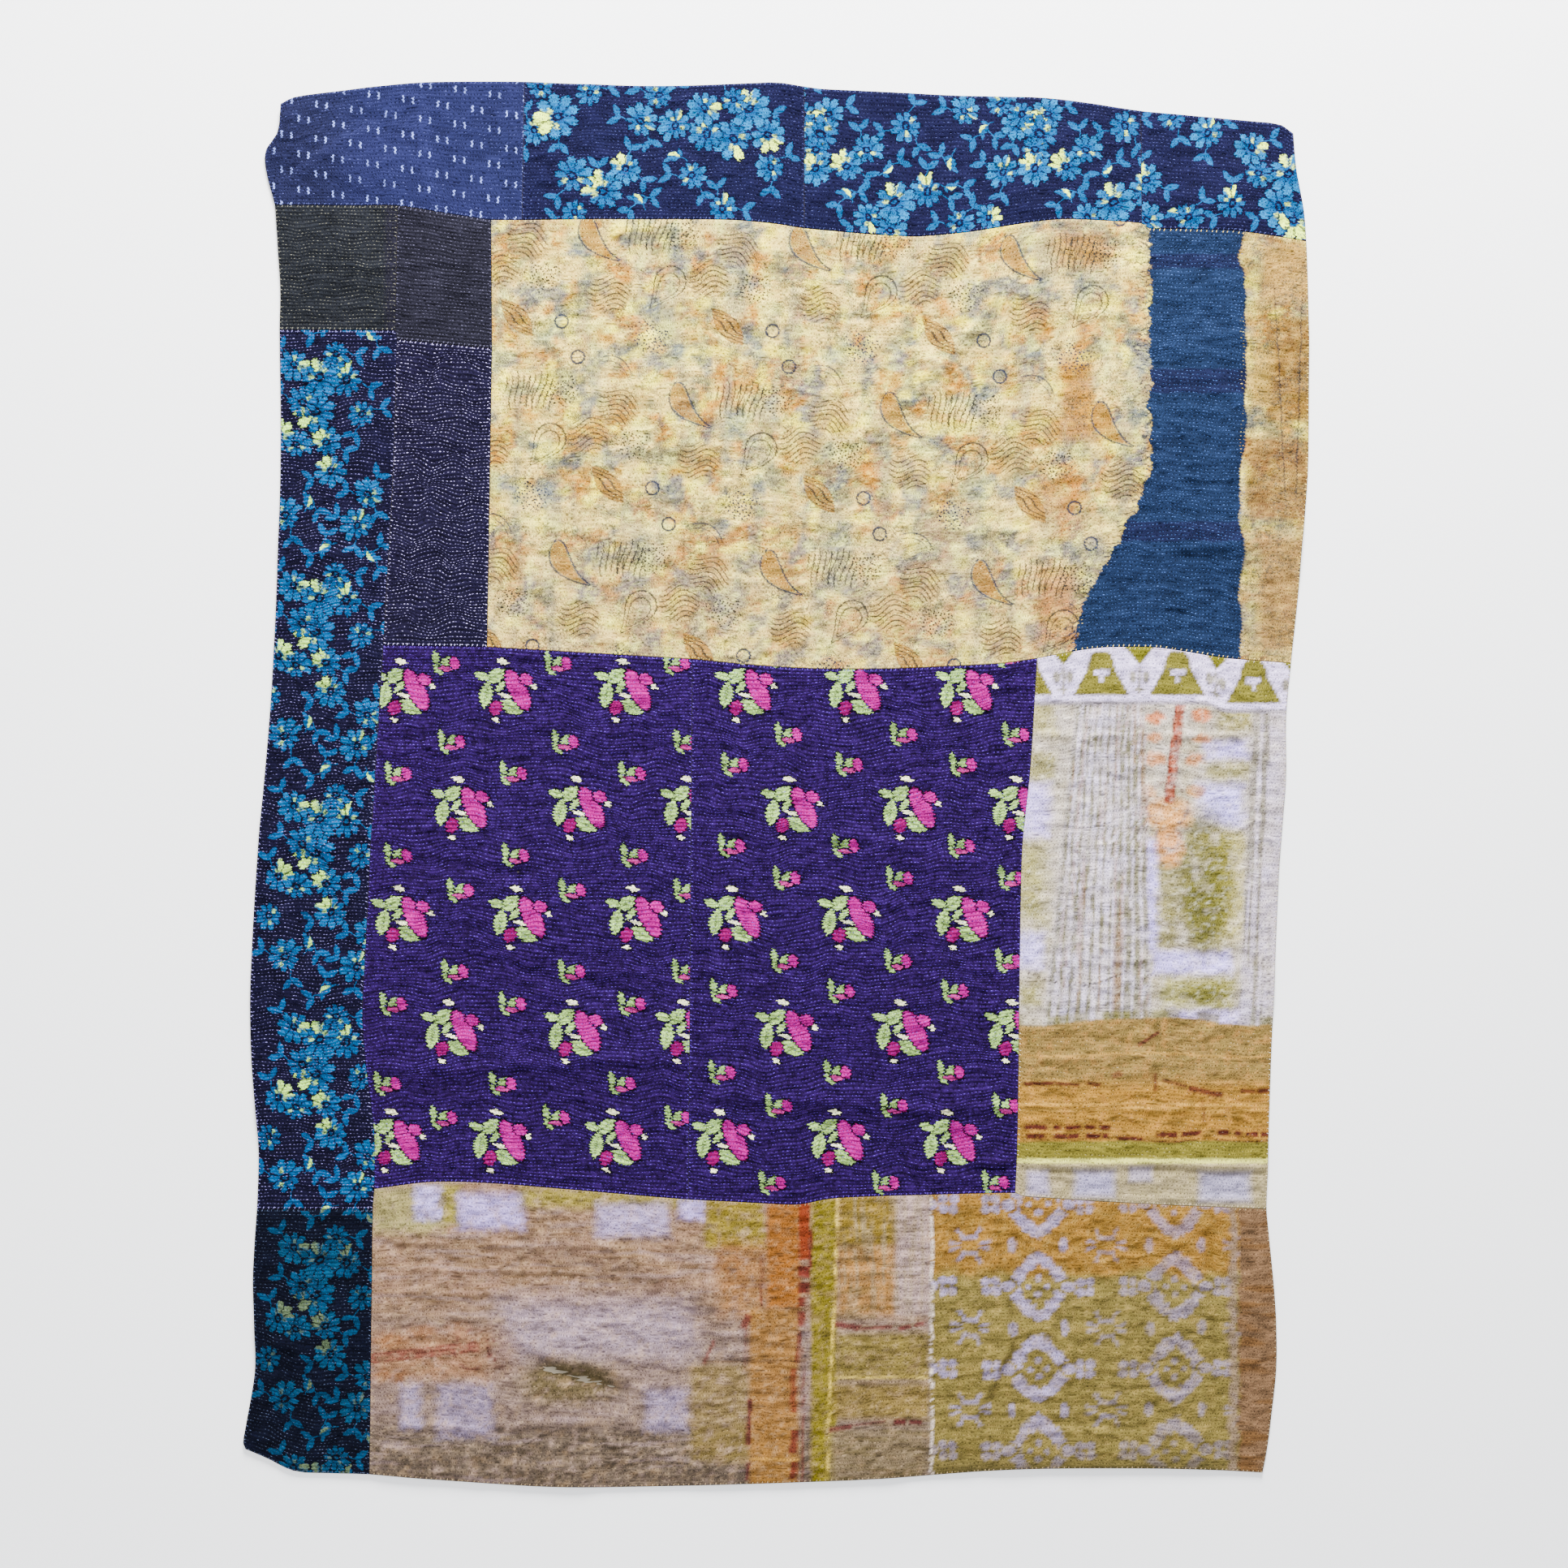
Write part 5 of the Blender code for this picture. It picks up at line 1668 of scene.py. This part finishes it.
def motifs_of(node):
    """The motifs printed on a cloth, or None."""
    if node == "face_floral_top_left":
        return daisies(FLORAL_LEFT)
    if node == "face_floral_top_mid":
        return daisies(FLORAL_MIDDLE, shift=(741, 100), again=(270, 0), times=3)
    if node == "face_floral_top_right":
        return daisies(FLORAL_RIGHT)
    if node in ("face_floral_side", "face_floral_foot"):
        start = (FLORAL_SIDE_AT[0], FLORAL_SIDE_AT[1] - FLORAL_SIDE_REPEAT)
        return daisies(FLORAL_SIDE, shift=start, again=(0, FLORAL_SIDE_REPEAT), times=6)
    if node == "face_purple_left":
        return purple_places(LEFT_BLOOMS, BLOOM_DOWNS, LEFT_SPRIGS, LEFT_SPRIG_DOWNS)
    if node == "face_purple_right":
        return purple_places(RIGHT_BLOOMS, BLOOM_DOWNS, RIGHT_SPRIGS, RIGHT_SPRIG_DOWNS)
    if node == "face_paisley":
        return paisley_places()
    return None


def kind_of(node):
    """The kind of cloth that a node is, as PAINTED_ROW_SHADES names it."""
    return next(kind for kind in PAINTED_ROW_SHADES if node.startswith(kind))


def material_of(node):
    """The material of a cloth; cloths of one print share it."""
    kind = node if node in CANVASES else kind_of(node)
    if kind in made_materials:
        return made_materials[kind]
    paint = start_cloth(kind + "_look")
    noise = paint.noise(paint.across, paint.down, 60.0)
    if kind == "face_indigo":
        tone = indigo_print(paint)
    elif kind == "face_black":
        tone = paint.mix(noise, "#2a2f37", "#3c4049")
        right_tone = paint.mix(noise, "#2c2d3c", "#3d3e50")
        tone = paint.mix(paint.step(paint.across, 470.0, 480.0), tone, right_tone)
    elif kind == "face_navy":
        tone = paint.mix(noise, "#202040", "#303052")
    elif kind in FLORALS:
        tone = floral_print(paint, *FLORALS[kind])
    elif kind == "face_purple":
        tone = purple_print(paint)
    elif kind == "face_paisley":
        tone = paisley_print(paint)
    else:
        tone, _ = from_points(paint, "tone")
    made_materials[kind] = finish_cloth(paint, tone, PAINTED_ROW_SHADES[kind_of(node)])
    return made_materials[kind]


def add_back():
    """The back cloth, turned up round the quilt's rim, in one sheet."""
    u, v = spread(BACK_WIDTH, 16), spread(BACK_LENGTH, 12)
    x, y = patch(lift.loop, u, v)
    uu, vv = u[None, :], v[:, None]
    edge = np.minimum(np.minimum(uu, 1 - uu) * BACK_WIDTH, np.minimum(vv, 1 - vv) * BACK_LENGTH)
    turn = np.clip(1 - edge / BACK_TURN, 0, 1)
    z = lift.at(x, y) + BACK_GAP + BACK_RISE * (1 - np.sqrt(1 - turn**2))
    points = np.stack([x, y, z], axis=-1)
    cotton = plain("back_cotton", "#b8b1a6")
    made = add_mesh("back_cloth", points.reshape(-1, 3), grid_faces(*x.shape), [cotton])
    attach(made, "root")
    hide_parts("quilt_body")
    extent = lift.loop.max(axis=0) - lift.loop.min(axis=0)
    tuple(extent / 1000)


def add_cloth(cloth, seed, thread):
    """One face cloth with its print, and its stitches."""
    grid = cloth_grid(cloth)
    points = grid.points
    faces = grid_faces(*points.shape[:2])
    made = add_mesh(cloth.node + "_cloth", points.reshape(-1, 3), faces, [material_of(cloth.node)])
    across, down = points[..., 0] + MIDDLE_ACROSS, MIDDLE_DOWN - points[..., 1]
    add_uv(made, "cloth", (np.stack([across, down], axis=-1) / 1000).reshape(-1, 2)[faces])
    strip = np.stack([grid.along, np.broadcast_to(grid.number[:, None], across.shape)], axis=-1)
    add_uv(made, "rows", strip.reshape(-1, 2)[faces])
    # Painted shading of the folds: darker in their hollows, lighter on their ridges.
    painted_fold_shading = np.clip(1 - 0.17 * np.maximum(grid.trough, -0.8), 0.5, 1.15)
    layer = made.data.attributes.new("painted_fold_shading", "FLOAT", "POINT")
    layer.data.foreach_set("value", painted_fold_shading.astype(np.float32).ravel())
    if cloth.node in CANVASES:
        add_tone(made, CANVASES[cloth.node](Canvas(points)).reshape(-1, 3))
    motifs = motifs_of(cloth.node)
    if motifs:
        motif_layers(made, points, faces, motifs, 1 if "purple" in cloth.node else 2)
    subparts = frame["record"]["subparts"]
    slot = next(s["material_slot"] for s in subparts if s["node"] == cloth.node)
    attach(made, "root")
    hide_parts(cloth.node)
    extent = grid.loop.max(axis=0) - grid.loop.min(axis=0)
    tuple(extent / 1000)
    add_stitches(cloth, grid, seed, thread)


def add_stitches(cloth, grid, seed, thread):
    """A cloth's running stitches and the stitches over its edge, as one piece."""
    middles, directions = row_stitches(cloth, grid, seed)
    colours = thread_colours(cloth.node, middles, seed)
    size = 0.75 + 0.5 * chance(middles[:, 1], middles[:, 0], seed + 5)
    lengths = STITCH_LENGTH * size
    whip_at, whip_along = whip_stitches(grid, seed)
    whip_tone = np.repeat(np.array([linear(THREADS[cloth.node][1])]) * 0.8, len(whip_at), axis=0)
    whip_size = np.ones(len(whip_at))
    middles = np.concatenate([middles, whip_at])
    directions = np.concatenate([directions, whip_along])
    size = np.concatenate([size, whip_size])
    lengths = np.concatenate([lengths, WHIP_LENGTH * whip_size])
    name = cloth.node + "_stitches"
    widths, heights = STITCH_WIDTH * size, STITCH_HEIGHT * size
    stitches = stitch_mesh(name, middles, directions, lengths, widths, heights, [thread])
    add_tone(stitches, np.repeat(np.concatenate([colours, whip_tone]), 5, axis=0))
    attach(stitches, "root")


def thread_look():
    """The thread's material, which takes its colour from the stitches."""
    paint = Paint("thread", 0.85, 0.0)
    tone, _ = from_points(paint, "tone")
    paint.tree.links.new(tone.socket, paint.shader.inputs["Base Color"])
    return paint.material


def add_light(name, place, size, power):
    """An area light that points at the middle of the quilt."""
    data = bpy.data.lights.new(name, "AREA")
    data.size = size
    data.energy = power
    made = bpy.data.objects.new(name, data)
    made.location = place
    made.rotation_euler = (-Vector(place)).to_track_quat("-Z", "Y").to_euler()
    bpy.context.collection.objects.link(made)


add_back()
thread = thread_look()
for number, cloth in enumerate(CLOTHS):
    add_cloth(cloth, number * 3.1 + 1, thread)

bpy.ops.mesh.primitive_plane_add(size=30, location=(0, 0, -0.0004))
floor = bpy.context.object
floor.name = "floor"
floor.data.materials.append(plain("floor_paint", (0.9, 0.9, 0.9)))

world = bpy.data.worlds.new("studio")
world.use_nodes = True
background = world.node_tree.nodes["Background"]
background.inputs[0].default_value = (0.9, 0.93, 1.0, 1)
background.inputs[1].default_value = 1.3
bpy.context.scene.world = world
add_light("window", (0.3, 3.4, 1.5), 1.2, 900)
add_light("ceiling", (-1.0, -0.6, 3.6), 2.5, 110)

# The camera looks straight down and takes in a square of FRAME_WIDTH metres at the height of the face.
LENS = 50
SENSOR_WIDTH = 36
FRAME_WIDTH = 1.932
FACE_LEVEL = 0.004
camera_data = bpy.data.cameras.new("camera")
camera_data.lens = LENS
camera_data.sensor_width = SENSOR_WIDTH
camera = bpy.data.objects.new("camera", camera_data)
camera.location = (0.006, 0.0005, FRAME_WIDTH * LENS / SENSOR_WIDTH + FACE_LEVEL)
bpy.context.collection.objects.link(camera)
bpy.context.scene.camera = camera
